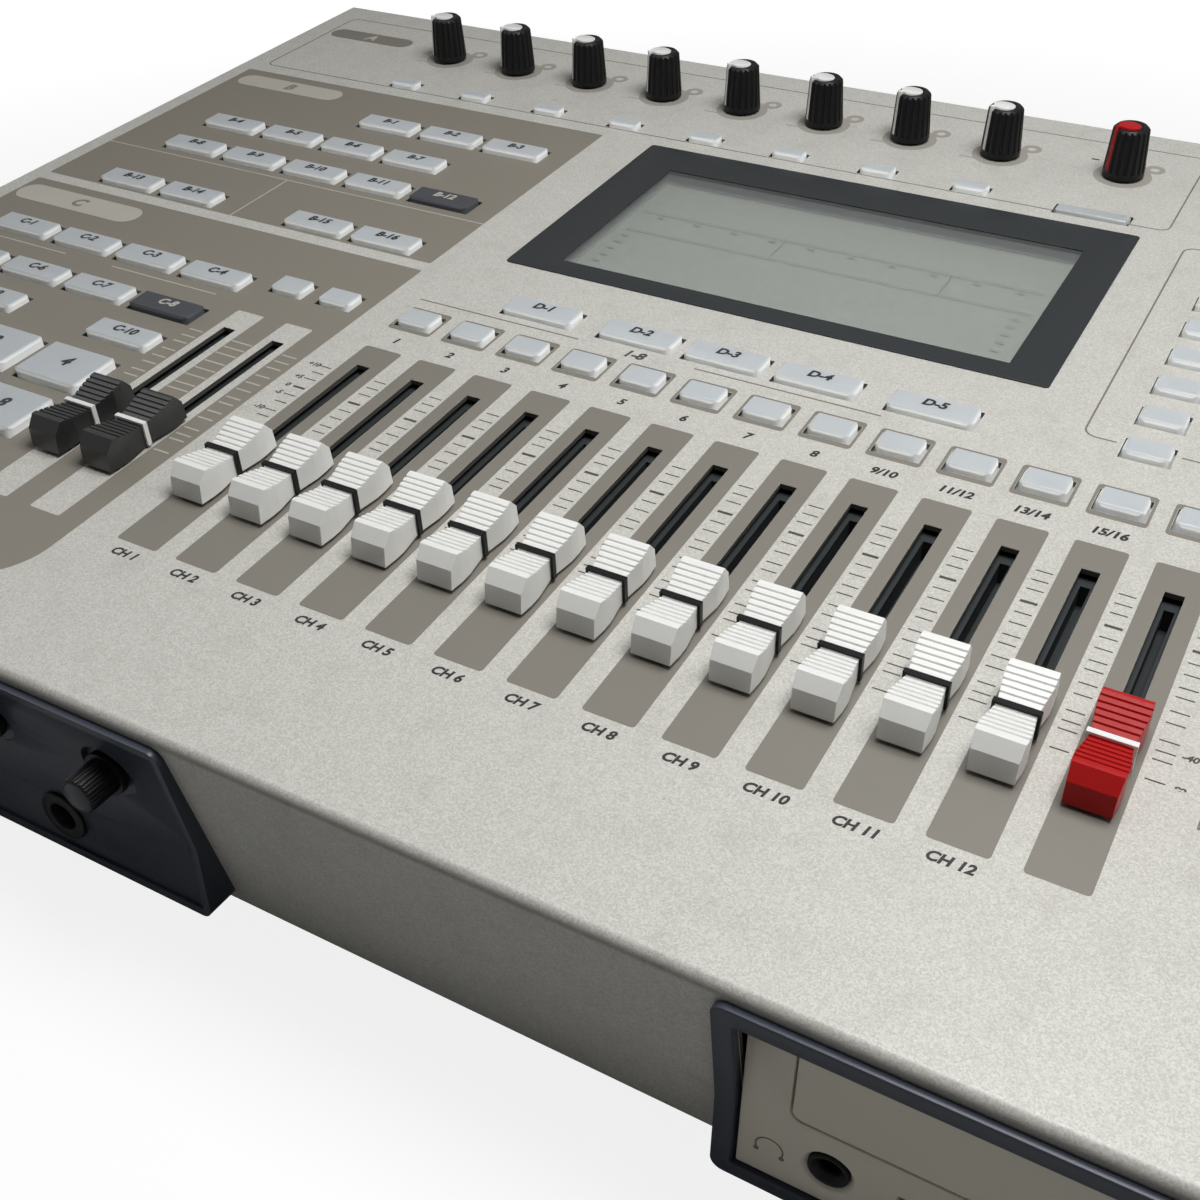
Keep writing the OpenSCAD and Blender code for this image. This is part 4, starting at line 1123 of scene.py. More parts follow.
    def settle(
        self,
        name: str,
        sheet: Sheet,
        ink: Ink,
        body: str = CASE,
        slot: str = PAINT_SLOT,
        matrix: Matrix | None = None,
    ) -> None:
        """Makes a printed sheet a piece; the sheet is used up.

        Args:
            name: The piece's name.
            sheet: The sheet, in local millimetres.
            ink: Its ink.
            body: The body that it rides on.
            slot: The record's material slot.
            matrix: Local millimetres to metres, or None for the panel's.
        """
        mesh = bpy.data.meshes.new(name)
        bmesh.ops.recalc_face_normals(sheet.bm, faces=sheet.bm.faces)
        sheet.bm.transform(self.panel.matrix if matrix is None else matrix)
        sheet.bm.to_mesh(mesh)
        sheet.bm.free()
        mesh.materials.append(self.finishes.inks[ink])
        self.enter(name, mesh, body, slot)


class Outline:
    """Flat outlines, as lists of points in millimetres."""

    @staticmethod
    def rounded(
        x0: float, x1: float, v0: float, v1: float, corner: float, steps: int = 6
    ) -> list[Point]:
        """A rectangle with round corners.

        Args:
            x0: Left.
            x1: Right.
            v0: Front.
            v1: Back.
            corner: Corner radius.
            steps: Steps round a corner.

        Returns:
            The points, counter-clockwise.
        """
        left, right, front, back = x0 + corner, x1 - corner, v0 + corner, v1 - corner
        centres = ((right, back), (left, back), (left, front), (right, front))
        points = []
        for quarter, (x, v) in enumerate(centres):
            for step in range(steps + 1):
                angle = math.pi / 2 * (quarter + step / steps)
                points.append((x + corner * math.cos(angle), v + corner * math.sin(angle)))
        return points

    @staticmethod
    def disc(radius: float, x: float = 0.0, v: float = 0.0, steps: int = 32) -> list[Point]:
        """A circle."""
        turns = [2 * math.pi * step / steps for step in range(steps)]
        return [(x + radius * math.cos(turn), v + radius * math.sin(turn)) for turn in turns]


class Sheet:
    """Collects thin printed plates that share an ink and a body."""

    bold = 0.04
    lean = 0.2
    curve_steps = 3
    weld = 1e-5

    def __init__(self, low: float = -PRINT_H, high: float = PRINT_H) -> None:
        """Starts an empty sheet.

        Args:
            low: Height of its underside, in millimetres.
            high: Height of its top, in millimetres.
        """
        self.bm = bmesh.new()
        self.low = low
        self.high = high

    def plate(self, *loops: Sequence[Point]) -> None:
        """Adds a plate with an outline and any holes.

        Args:
            loops: The outline, then the holes.
        """
        part = bmesh.new()
        for loop in loops:
            verts = [part.verts.new((x, v, self.low)) for x, v in loop]
            for index, vert in enumerate(verts):
                part.edges.new((vert, verts[index - 1]))
        bmesh.ops.triangle_fill(part, edges=part.edges, use_beauty=True)
        lifted = bmesh.ops.extrude_face_region(part, geom=part.faces[:])
        raised = [item for item in lifted["geom"] if isinstance(item, bmesh.types.BMVert)]
        bmesh.ops.translate(part, verts=raised, vec=(0.0, 0.0, self.high - self.low))
        self.take(part)

    def bar(self, x0: float, x1: float, v0: float, v1: float) -> None:
        """Adds a plain rectangle."""
        self.plate([(x0, v0), (x1, v0), (x1, v1), (x0, v1)])

    def strip(self, points: Sequence[Point], width: float) -> None:
        """Adds an open line of even width.

        Args:
            points: Places along the middle of the line.
            width: Its width.
        """
        left, right = [], []
        for index, (x, v) in enumerate(points):
            before, after = points[max(index - 1, 0)], points[min(index + 1, len(points) - 1)]
            along = Vector((after[0] - before[0], after[1] - before[1])).normalized() * width / 2
            left.append((x - along.y, v + along.x))
            right.append((x + along.y, v - along.x))
        self.plate(left + right[::-1])

    def write(self, words: str, x: float, v: float, size: float) -> None:
        """Adds lettering centred on a place.

        Args:
            words: Numbers or plain signs.
            x: Place across.
            v: Place up the slope.
            size: Letter size, in millimetres.
        """
        curve = bpy.data.curves.new("lettering", "FONT")
        curve.body = words
        curve.size = size
        curve.shear = self.lean
        curve.align_x = "CENTER"
        curve.align_y = "CENTER"
        curve.offset = size * self.bold
        curve.resolution_u = self.curve_steps
        curve.extrude = (self.high - self.low) / 2
        mesh = Workshop.flatten(Workshop.link("lettering", curve))
        bpy.data.curves.remove(curve)
        mesh.transform(Matrix.Translation((x, v, (self.low + self.high) / 2)))
        part = bmesh.new()
        part.from_mesh(mesh)
        bmesh.ops.remove_doubles(part, verts=part.verts, dist=self.weld)
        bpy.data.meshes.remove(mesh)
        self.take(part)

    def take(self, part: bmesh.types.BMesh) -> None:
        """Moves a finished part into the sheet.

        Args:
            part: The part; it is freed.
        """
        bmesh.ops.recalc_face_normals(part, faces=part.faces)
        mesh = bpy.data.meshes.new("part")
        part.to_mesh(mesh)
        part.free()
        self.bm.from_mesh(mesh)
        bpy.data.meshes.remove(mesh)


class Repeater:
    """Geometry Nodes that set one shape on many places of the case."""

    def __init__(self, workshop: Workshop) -> None:
        """Builds the trees once.

        Args:
            workshop: Where pieces are made.
        """
        self.workshop = workshop
        self.bars = self.bar_tree()
        self.copies = self.copy_tree()

    @staticmethod
    def start(name: str, inputs: Sequence[tuple[str, str]]) -> tuple[Graph, bpy.types.Node]:
        """Starts a tree with geometry in and out and the named inputs.

        Args:
            name: The tree's name.
            inputs: Pairs of input name and socket type.

        Returns:
            The graph and its input node.
        """
        tree = bpy.data.node_groups.new(name, "GeometryNodeTree")
        geometry = ("Geometry", "NodeSocketGeometry")
        for label, kind in (geometry, *inputs):
            tree.interface.new_socket(label, in_out="INPUT", socket_type=kind)
        label, kind = geometry
        tree.interface.new_socket(label, in_out="OUTPUT", socket_type=kind)
        graph = Graph(tree)
        return graph, graph.add("NodeGroupInput")

    @staticmethod
    def end(graph: Graph, given: bpy.types.Node, sockets: Mapping[str, Any]) -> None:
        """Ends a tree in real geometry with its finish.

        Args:
            graph: The tree's graph.
            given: The tree's input node.
            sockets: What stands on the points, and how.
        """
        points = {"Points": given.outputs["Geometry"]}
        rows = graph.add("GeometryNodeInstanceOnPoints", None, {**points, **sockets})
        real = graph.add("GeometryNodeRealizeInstances", None, {0: rows.outputs[0]})
        finish = {"Geometry": real.outputs[0], "Material": given.outputs["Material"]}
        dressed = graph.add("GeometryNodeSetMaterial", None, finish)
        graph.add("NodeGroupOutput", None, {0: dressed.outputs[0]})

    def bar_tree(self) -> bpy.types.NodeTree:
        """A tree that sets a bar of given sizes on each point.

        Returns:
            The tree.
        """
        labels = ("Width", "Length", "Height")
        inputs = [(label, "NodeSocketFloat") for label in labels]
        graph, given = self.start("bar_rows", [*inputs, ("Material", "NodeSocketMaterial")])
        sizes = {index: given.outputs[label] for index, label in enumerate(labels)}
        size = graph.add("ShaderNodeCombineXYZ", None, sizes)
        bar = graph.add("GeometryNodeMeshCube", None, {"Size": size.outputs[0]})
        self.end(graph, given, {"Instance": bar.outputs["Mesh"]})
        return graph.tree

    def copy_tree(self) -> bpy.types.NodeTree:
        """A tree that sets a copy of a shape on each point, turned as the point says.

        Returns:
            The tree.
        """
        inputs = [
            ("Shape", "NodeSocketObject"),
            ("Size", "NodeSocketFloat"),
            ("Material", "NodeSocketMaterial"),
        ]
        graph, given = self.start("shape_rows", inputs)
        shape = graph.add("GeometryNodeObjectInfo", None, {"Object": given.outputs["Shape"]})
        vector = {"data_type": "FLOAT_VECTOR"}
        turn = graph.add("GeometryNodeInputNamedAttribute", vector, {"Name": "turn"})
        sockets = {
            "Instance": shape.outputs["Geometry"],
            "Rotation": turn.outputs[0],
            "Scale": given.outputs["Size"],
        }
        self.end(graph, given, sockets)
        return graph.tree

    @staticmethod
    def run(
        tree: bpy.types.NodeTree,
        places: Sequence[Vector],
        values: Mapping[str, Any],
        turns: Sequence[Vector] = (),
    ) -> bpy.types.Mesh:
        """Runs a tree on places and returns the plain mesh.

        Args:
            tree: The tree.
            places: The points.
            values: Values of the tree's named inputs.
            turns: Turn of each point, where the tree reads them.

        Returns:
            The mesh.
        """
        mesh = bpy.data.meshes.new("places")
        mesh.from_pydata([tuple(place) for place in places], [], [])
        if turns:
            attribute = mesh.attributes.new("turn", "FLOAT_VECTOR", "POINT")
            attribute.data.foreach_set("vector", [part for turn in turns for part in turn])
        draft = Workshop.link("places", mesh)
        modifier = draft.modifiers.new("rows", "NODES")
        modifier.node_group = tree
        for item in tree.interface.items_tree:
            if item.in_out == "INPUT" and item.name in values:
                modifier[item.identifier] = values[item.name]
        result = Workshop.flatten(draft)
        result.materials.pop(index=0)
        return result

    def copy(
        self, sheet: Sheet, places: Sequence[Vector], turns: Sequence[Vector], ink: Ink
    ) -> bpy.types.Mesh:
        """Sets copies of one small sheet on places.

        Args:
            sheet: The printed shape, round its own origin; it is used up.
            places: The points.
            turns: Turn of each point.
            ink: The ink.

        Returns:
            The mesh.
        """
        shape = bpy.data.meshes.new("shape")
        sheet.bm.to_mesh(shape)
        sheet.bm.free()
        pattern = Workshop.link("shape", shape)
        material = self.workshop.finishes.inks[ink]
        values = {"Shape": pattern, "Size": 1.0, "Material": material}
        mesh = self.run(self.copies, places, values, turns)
        bpy.data.objects.remove(pattern)
        return mesh

    def print_copies(self, name: str, sheet: Sheet, spots: Sequence[Point], ink: Ink) -> None:
        """Prints copies of one small sheet on the panel.

        Args:
            name: The piece's name.
            sheet: The printed shape, round its own origin; it is used up.
            spots: Places on the panel.
            ink: The ink.
        """
        places = [Vector((x, v, 0.0)) for x, v in spots]
        level = [Vector((0.0, 0.0, 0.0))] * len(places)
        self.finish(name, self.copy(sheet, places, level, ink), self.workshop.panel.matrix)

    def print_bars(
        self, name: str, columns: Sequence[float], rows: Sequence[float], size: Point, ink: Ink
    ) -> None:
        """Prints bars on the panel, on every crossing of columns and rows.

        Args:
            name: The piece's name.
            columns: Places across.
            rows: Places up the slope.
            size: Width across and length up the slope.
            ink: The ink.
        """
        places = [Vector((x, v, 0.0)) for x in columns for v in rows]
        width, length = size
        values = {
            "Width": width,
            "Length": length,
            "Height": 2 * PRINT_H,
            "Material": self.workshop.finishes.inks[ink],
        }
        self.finish(name, self.run(self.bars, places, values), self.workshop.panel.matrix)

    def finish(
        self, name: str, mesh: bpy.types.Mesh, matrix: Matrix, slot: str = PAINT_SLOT
    ) -> None:
        """Makes a repeated mesh, in local millimetres, a piece of the case."""
        mesh.transform(matrix)
        self.workshop.enter(name, mesh, CASE, slot)


def middle(node: str) -> float:
    """A node's place across, in millimetres."""
    low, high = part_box(node)
    return (low.x + high.x) / 2 / MM


class CapPart(IntEnum):
    """Parts of a fader, in the order of their finishes."""

    CAP = 0
    BAND = 1
    LEVER = 2


@dataclass
class FaderBank:
    """Slide faders: ribbed caps with a contrast band, and the scale printed beside them."""

    workshop: Workshop
    repeater: Repeater
    track_count: int = 12
    rhythm: tuple[str, str] = ("drum_fader", "bass_fader")
    edge: float = 0.28
    crease: float = 8.0
    band_l: float = 3.0
    strip_w: float = 10.8
    strip_v: Point = (41.8, 129.6)
    strip_corner: float = 0.8
    slot_w: float = 3.84
    slot_v: Point = (65.18, 121.02)
    slot_corner: float = 0.05
    tick: Point = (3.4, 0.32)
    tick_off: float = 8.15
    ticks_v: tuple[float, ...] = (
        70.6, 75.7, 78.0, 80.8, 85.5, 88.7, 92.7, 95.4, 99.2, 102.6, 110.3, 113.4, 116.5,
    )
    zero_v: float = 106.2
    zero_l: float = 0.75
    pale_l: float = 0.5
    pale_clear: float = 9.2
    pale_end_w: float = 4.4
    pale_end_off: float = 7.2
    label_v: float = 38.4
    label_size: float = 3.0
    scale_size: float = 2.1
    scale_gap: float = 0.6
    left_scale: tuple[tuple[str, float], ...] = (
        ("+10", 116.5), ("+5", 110.3), ("0", 106.2), ("-5", 102.6), ("-10", 95.4),
    )
    right_scale: tuple[tuple[str, float], ...] = (
        ("-40", 78.4), ("0", 106.2), ("+10", 116.5), ("∞", 70.6),
    )

    def names(self) -> list[str]:
        """Nodes of the track faders and the master."""
        return [f"fader_{index}" for index in range(1, self.track_count + 1)] + ["master_fader"]

    def build(self) -> None:
        """Builds caps, strips, ticks and labels."""
        self.caps()
        self.strips()
        self.ticks()
        self.labels()

    def part(self, island: Island) -> CapPart:
        """Tells a fader's parts by depth and by length along the travel."""
        raised = CapPart.BAND if island.size.y < self.band_l else CapPart.CAP
        return CapPart.LEVER if island.centre.z < 0 else raised

    def caps(self) -> None:
        """Soft-edged caps, bands and levers."""
        made = self.workshop.finishes
        tones = {node: ("white_plastic", made.white, made.dark) for node in self.names()}
        tones["master_fader"] = ("red_plastic", made.red, made.white)
        tones |= {node: ("grey_plastic", made.grey, made.white) for node in self.rhythm}
        for node, (slot, cap, band) in tones.items():
            finishes = [cap, band, made.steel]
            self.workshop.soften(
                node, node, slot, self.edge, finishes, self.part, crease=self.crease
            )

    def strips(self) -> None:
        """Printed strips with a hole for each slot."""
        sheet = Sheet()
        half, slot = self.strip_w / 2, self.slot_w / 2
        for x in map(middle, self.names()):
            sheet.plate(
                Outline.rounded(x - half, x + half, *self.strip_v, self.strip_corner),
                Outline.rounded(x - slot, x + slot, *self.slot_v, self.slot_corner),
            )
        self.workshop.settle("fader_strips", sheet, Ink.TAUPE)

    def ticks(self) -> None:
        """Scale ticks between the strips, dark on silver and pale on taupe."""
        show = self.repeater.print_bars
        columns = [middle(node) + self.tick_off for node in self.names()]
        columns.append(middle("fader_1") - self.tick_off)
        zero = (self.tick[0], self.zero_l)
        show("fader_ticks", columns, self.ticks_v, self.tick, Ink.DARK)
        show("fader_zero_ticks", columns, (self.zero_v,), zero, Ink.DARK)
        drum, bass = map(middle, self.rhythm)
        rows = (*self.ticks_v, self.zero_v)
        between = (bass - drum - self.pale_clear, self.pale_l)
        show("rhythm_ticks", [(drum + bass) / 2], rows, between, Ink.PALE)
        ends = [drum - self.pale_end_off, bass + self.pale_end_off]
        show("rhythm_end_ticks", ends, rows, (self.pale_end_w, self.pale_l), Ink.PALE)

    def labels(self) -> None:
        """Channel numbers below the strips and level numbers beside the scale."""
        channels, levels = Sheet(), Sheet()
        for index, node in enumerate(self.names()[:-1], 1):
            channels.write(f"CH {index}", middle(node), self.label_v, self.label_size)
        reach = self.tick_off + self.tick[0]
        left = middle("fader_1") - reach
        for words, v in self.left_scale:
            levels.write(words, left, v, self.scale_size)
        right = middle("master_fader") + reach + self.scale_gap
        for words, v in self.right_scale:
            levels.write(words, right, v, self.scale_size)
        self.workshop.settle("fader_labels", channels, Ink.BLACK)
        self.workshop.settle("scale_numbers", levels, Ink.DARK)


@dataclass
class KnobBank:
    """Fluted knobs with a coloured insert, the jog dial and the two front knobs."""

    workshop: Workshop
    repeater: Repeater
    knob_count: int = 8
    edge: float = 0.2
    dial_edge: float = 0.4
    insert_reach: float = 14.6
    # Radii of the painted shade ring round a knob's foot
    seat_r: Point = (4.1, 8.2)
    mark_at: Point = (7.4, 7.7)
    mark_r: Point = (1.3, 2.9)
    dash_at: Point = (-8.4, -5.2)
    dash: Point = (4.6, 0.6)
    level_dash: Box = (51.0, 53.2, 312.3, 313.1)

    def inputs(self) -> list[str]:
        """Nodes of the input knobs."""
        return [f"input_knob_{index}" for index in range(1, self.knob_count + 1)]

    def build(self) -> None:
        """Builds every turning control."""
        made = self.workshop.finishes
        tops = {node: made.white for node in self.inputs()}
        tops |= {"level_knob": made.red, "sub_out_knob": made.gloss, "phones_knob": made.gloss}
        for node, top in tops.items():
            finishes = [made.dark, top]
            self.workshop.soften(node, node, "dark_plastic", self.edge, finishes, self.part)
        dial = "jog_dial"
        self.workshop.soften(dial, dial, "grey_plastic", self.dial_edge, [made.grey])
        self.marks()

    def part(self, island: Island) -> int:
        """Nought for a knob and one for its insert, told by size."""
        return int(max(island.size) < self.insert_reach)

    def marks(self) -> None:
        """Prints a ring of painted shade round each knob's foot, small rings behind them and
        dashes beside them.
        """
        spots = [(middle(node), KNOB_ROW_V) for node in [*self.inputs(), "level_knob"]]
        sheet = Sheet()
        # Painted shade: a darker ring round the foot of each knob
        inner, outer = self.seat_r
        sheet.plate(Outline.disc(outer), Outline.disc(inner))
        self.repeater.print_copies("knob_rings", sheet, spots, Ink.SHADE)
        sheet = Sheet(high=2 * PRINT_H)
        inner, outer = self.mark_r
        sheet.plate(Outline.disc(outer), Outline.disc(inner))
        beside = [(x + self.mark_at[0], v + self.mark_at[1]) for x, v in spots]
        self.repeater.print_copies("knob_marks", sheet, beside, Ink.SHADE)
        sheet = Sheet()
        half_w, half_l = self.dash[0] / 2, self.dash[1] / 2
        sheet.bar(-half_w, half_w, -half_l, half_l)
        before = [(x + self.dash_at[0], v + self.dash_at[1]) for x, v in spots[:-1]]
        self.repeater.print_copies("knob_dashes", sheet, before, Ink.SHADE)
        sheet = Sheet()
        sheet.bar(*self.level_dash)
        self.workshop.settle("level_dash", sheet, Ink.BLACK)


class KeyTone(IntEnum):
    """Tones of the keys, in the order of their finishes."""

    KEY = 0
    DARK = 1
    PAD = 2
    LOW = 3


@dataclass
class KeyField:
    """Push keys with milky caps, their numbers and the printed frames round the track keys."""

    workshop: Workshop
    repeater: Repeater
    edge: float = 0.8
    edge_steps: int = 4
    crown_h: float = 0.4
    groups: tuple[str, ...] = (
        "effect_keys", "rhythm_keys", "drum_pads", "track_keys",
        "input_keys", "screen_keys", "parameter_keys", "transport_keys",
    )
    dark_spots: tuple[Point, ...] = ((-108.0, 206.6), (-137.6, 121.8))
    dark_reach: float = 3.0
    pad_above: float = 1.9
    low_below: float = 1.5
    letters: tuple[tuple[str, str], ...] = (
        ("effect_keys", "B-"), ("rhythm_keys", "C-"), ("drum_pads", ""),
        ("screen_keys", "D-"), ("transport_keys", ""),
    )
    key_letter: float = 3.7
    pad_letter: float = 5.0
    pad_reach: float = 12.0
    letter_back: float = 0.6
    frame_w: float = 12.6
    frame_v: Point = (-5.7, 5.8)
    frame_corner: float = 1.0
    hole: Point = (11.3, 8.3)
    hole_corner: float = 0.1
    first_track: float = -80.0
    single_tracks: int = 8
    number_v: float = -10.6
    number_size: float = 3.3

    def build(self) -> None:
        """Builds the keys, their numbers and the frames."""
        made = self.workshop.finishes
        finishes = [made.key, made.dark_key, made.pad, made.low_key]
        letters = dict(self.letters)
        for group in self.groups:
            self.workshop.soften(
                group, group, "key_plastic", self.edge, finishes,
                self.tone, self.edge_steps, self.crown_h,
            )
            if group in letters:
                self.number(group, letters[group])
        self.frames()

    def tone(self, island: Island) -> KeyTone:
        """Tells the two dark keys by place, and pads and low keys by height.

        Args:
            island: The key.

        Returns:
            Its tone.
        """
        place = island.centre
        near = [abs(place.x - x) + abs(place.y - v) for x, v in self.dark_spots]
        if min(near) < self.dark_reach:
            return KeyTone.DARK
        if island.top < self.low_below:
            return KeyTone.LOW
        return KeyTone.PAD if island.top > self.pad_above else KeyTone.KEY

    def number(self, group: str, letter: str) -> None:
        """Numbers the keys of a group from the back left.

        Args:
            group: The group's node and body.
            letter: Letter before the number.
        """
        keys = self.workshop.spots(group)
        keys.sort(key=lambda island: (-round(island.centre.y), island.centre.x))
        top = max(island.top for island in keys)
        sheets = {ink: Sheet(top - PRINT_H, top + PRINT_H) for ink in (Ink.BLACK, Ink.PALE)}
        for index, island in enumerate(keys, 1):
            x, v, _ = island.centre
            size = self.pad_letter if island.size.y > self.pad_reach else self.key_letter
            ink = Ink.PALE if self.tone(island) == KeyTone.DARK else Ink.BLACK
            sheets[ink].write(f"{letter}{index}", x, v + self.letter_back, size)
        for ink, sheet in sheets.items():
            if sheet.bm.faces:
                name = f"{group}_numbers_{ink.name.lower()}"
                self.workshop.settle(name, sheet, ink, group, "key_plastic")

    def frames(self) -> None:
        """Printed frames round the track keys, with track numbers in front of them."""
        tracks = sorted(self.workshop.spots("track_keys"), key=lambda island: island.centre.x)
        places = [(island.centre.x, island.centre.y) for island in tracks]
        spots = [(x, v) for x, v in places if x > self.first_track]
        half_w, hole_w, hole_v = self.frame_w / 2, self.hole[0] / 2, self.hole[1] / 2
        sheet = Sheet()
        sheet.plate(
            Outline.rounded(-half_w, half_w, *self.frame_v, self.frame_corner),
            Outline.rounded(-hole_w, hole_w, -hole_v, hole_v, self.hole_corner, steps=1),
        )
        self.repeater.print_copies("track_frames", sheet, spots, Ink.TAUPE)
        numbers = Sheet()
        for index, (x, v) in enumerate(spots[:-1], 1):
            pair = 2 * index - self.single_tracks
            words = str(index) if index <= self.single_tracks else f"{pair - 1}/{pair}"
            numbers.write(words, x, v + self.number_v, self.number_size)
        self.workshop.settle("track_numbers", numbers, Ink.BLACK)


@dataclass
class PanelPrint:
    """Lines, pills and letters printed on the cover."""

    workshop: Workshop
    line_w: float = 0.45
    input_box: Box = (-229.5, 82.0, 274.0, 326.0)
    box_corner: float = 3.0
    track_lines: tuple[Point, ...] = ((-80.5, -33.0), (-1.0, 46.0))
    track_line_v: float = 154.8
    track_words: tuple[str, float, float, float] = ("1-8", -17.0, 154.2, 4.2)
    parameter_box: Box = (88.0, 232.0, 167.6, 266.8)
    parameter_gap: Point = (95.4, 109.2)
    effect_divide: tuple[float, float, float] = (-160.0, 172.7, 198.9)
    pale_rules: tuple[tuple[float, float, float], ...] = (
        (-232.0, -89.5, 198.9),
        (-131.4, -104.2, 243.2),
        (-212.0, -186.0, 133.4),
        (-168.5, -131.3, 133.4),
    )
    input_pill: Box = (-228.0, -193.0, 307.0, 315.0)
    effect_pill: Box = (-229.0, -186.0, 255.5, 264.0)
    rhythm_pill: Box = (-231.0, -183.5, 155.2, 164.6)
    pill_flat: float = 0.05
    pill_letter: float = 6.0

    def build(self) -> None:
        """Prints everything that isn't part of a control."""
        self.dark_lines()
        self.pale_lines()
        self.pills()

    def dark_lines(self) -> None:
        """Outlines on the silver."""
        lines, words = Sheet(), Sheet()
        self.input_frame(lines)
        self.parameter_frame(lines)
        for x0, x1 in self.track_lines:
            lines.bar(x0, x1, self.track_line_v, self.track_line_v + self.line_w)
        words.write(*self.track_words)
        self.workshop.settle("panel_lines", lines, Ink.LINE)
        self.workshop.settle("track_words", words, Ink.DARK)

    def input_frame(self, sheet: Sheet) -> None:
        """Adds the thin outline round the input knobs.

        Args:
            sheet: The sheet.
        """
        x0, x1, v0, v1 = self.input_box
        w = self.line_w
        sheet.plate(
            Outline.rounded(x0, x1, v0, v1, self.box_corner),
            Outline.rounded(x0 + w, x1 - w, v0 + w, v1 - w, self.box_corner - w),
        )

    def parameter_frame(self, sheet: Sheet) -> None:
        """Adds the parameter outline, open where the lowest key stands.

        Args:
            sheet: The sheet.
        """
        x0, x1, v0, v1 = self.parameter_box
        gap_left, gap_right = self.parameter_gap
        loop = Outline.rounded(x0, x1, v0, v1, self.box_corner)
        front = max(index for index, (x, _) in enumerate(loop) if x < gap_left) + 1
        points = [(gap_right, v0), *loop[front:], *loop[:front], (gap_left, v0)]
        sheet.strip(points, self.line_w)

    def pale_lines(self) -> None:
        """Rules on the dark areas of the effect and rhythm keys."""
        sheet = Sheet()
        for x0, x1, v in self.pale_rules:
            sheet.bar(x0, x1, v, v + self.line_w)
        x, v0, v1 = self.effect_divide
        sheet.bar(x, x + self.line_w, v0, v1)
        self.workshop.settle("pale_rules", sheet, Ink.PALE)

    def pills(self) -> None:
        """Section pills, each with a plain letter."""
        dark, pale = Sheet(), Sheet()
        dark_letters, pale_letters = (Sheet(0.0, 2 * PRINT_H) for _ in range(2))
        marked = (
            (dark, pale_letters, self.input_pill, "A"),
            (pale, dark_letters, self.effect_pill, "B"),
            (pale, dark_letters, self.rhythm_pill, "C"),
        )
        for sheet, letters, (x0, x1, v0, v1), words in marked:
            corner = (v1 - v0) / 2 - self.pill_flat
            sheet.plate(Outline.rounded(x0, x1, v0, v1, corner))
            letters.write(words, (x0 + x1) / 2, (v0 + v1) / 2, self.pill_letter)
        self.workshop.settle("dark_pill", dark, Ink.TAUPE)
        self.workshop.settle("pale_pills", pale, Ink.PALE)
        self.workshop.settle("dark_pill_letter", pale_letters, Ink.PALE)
        self.workshop.settle("pale_pill_letters", dark_letters, Ink.TAUPE)


@dataclass
class DisplayUnit:
    """Display: bezel plate, clear pane and the grey-green module under it."""

    workshop: Workshop
    edge: float = 0.12
    mark_h: float = 0.02
    rule_x: Point = (-56.0, 61.0)
    rules_v: Point = (233.6, 221.6)
    rule_w: float = 0.3
    breaks_x: tuple[float, ...] = (-12.0, 36.0)
    dot_count: int = 10
    dot_w: float = 1.0
    dot_l: float = 0.6
    dot_drop: float = 2.2
    side_x: Point = (-54.2, 58.0)
    side_v: tuple[float, ...] = (217.6, 213.4, 209.2, 204.9, 200.8)
    side_w: float = 1.1
    side_l: float = 0.5

    def build(self) -> None:
        """Builds the display."""
        made = self.workshop.finishes
        self.workshop.soften("display_bezel", CASE, "charcoal", self.edge, [made.charcoal])
        self.workshop.dress(made.pane, "display_window")
        self.workshop.dress(made.crystal, "lcd_panel")
        self.marks()

    def marks(self) -> None:
        """Faint lines and ticks on the display's face."""
        top = self.workshop.spots("lcd_panel")[0].top
        sheet = Sheet(top - self.mark_h, top + self.mark_h)
        left, right = self.rule_x
        back, front = self.rules_v
        for v in self.rules_v:
            sheet.bar(left, right, v, v + self.rule_w)
        for x in self.breaks_x:
            sheet.bar(x, x + self.rule_w, front, back)
        v = back - self.dot_drop
        for index in range(self.dot_count):
            x = left + (right - left) * (index + 0.5) / self.dot_count
            sheet.bar(x - self.dot_w, x + self.dot_w, v, v + self.dot_l)
        for x in self.side_x:
            for v in self.side_v:
                sheet.bar(x - self.side_w, x + self.side_w, v, v + self.side_l)
        self.workshop.settle("display_marks", sheet, Ink.LINE, slot="lcd")


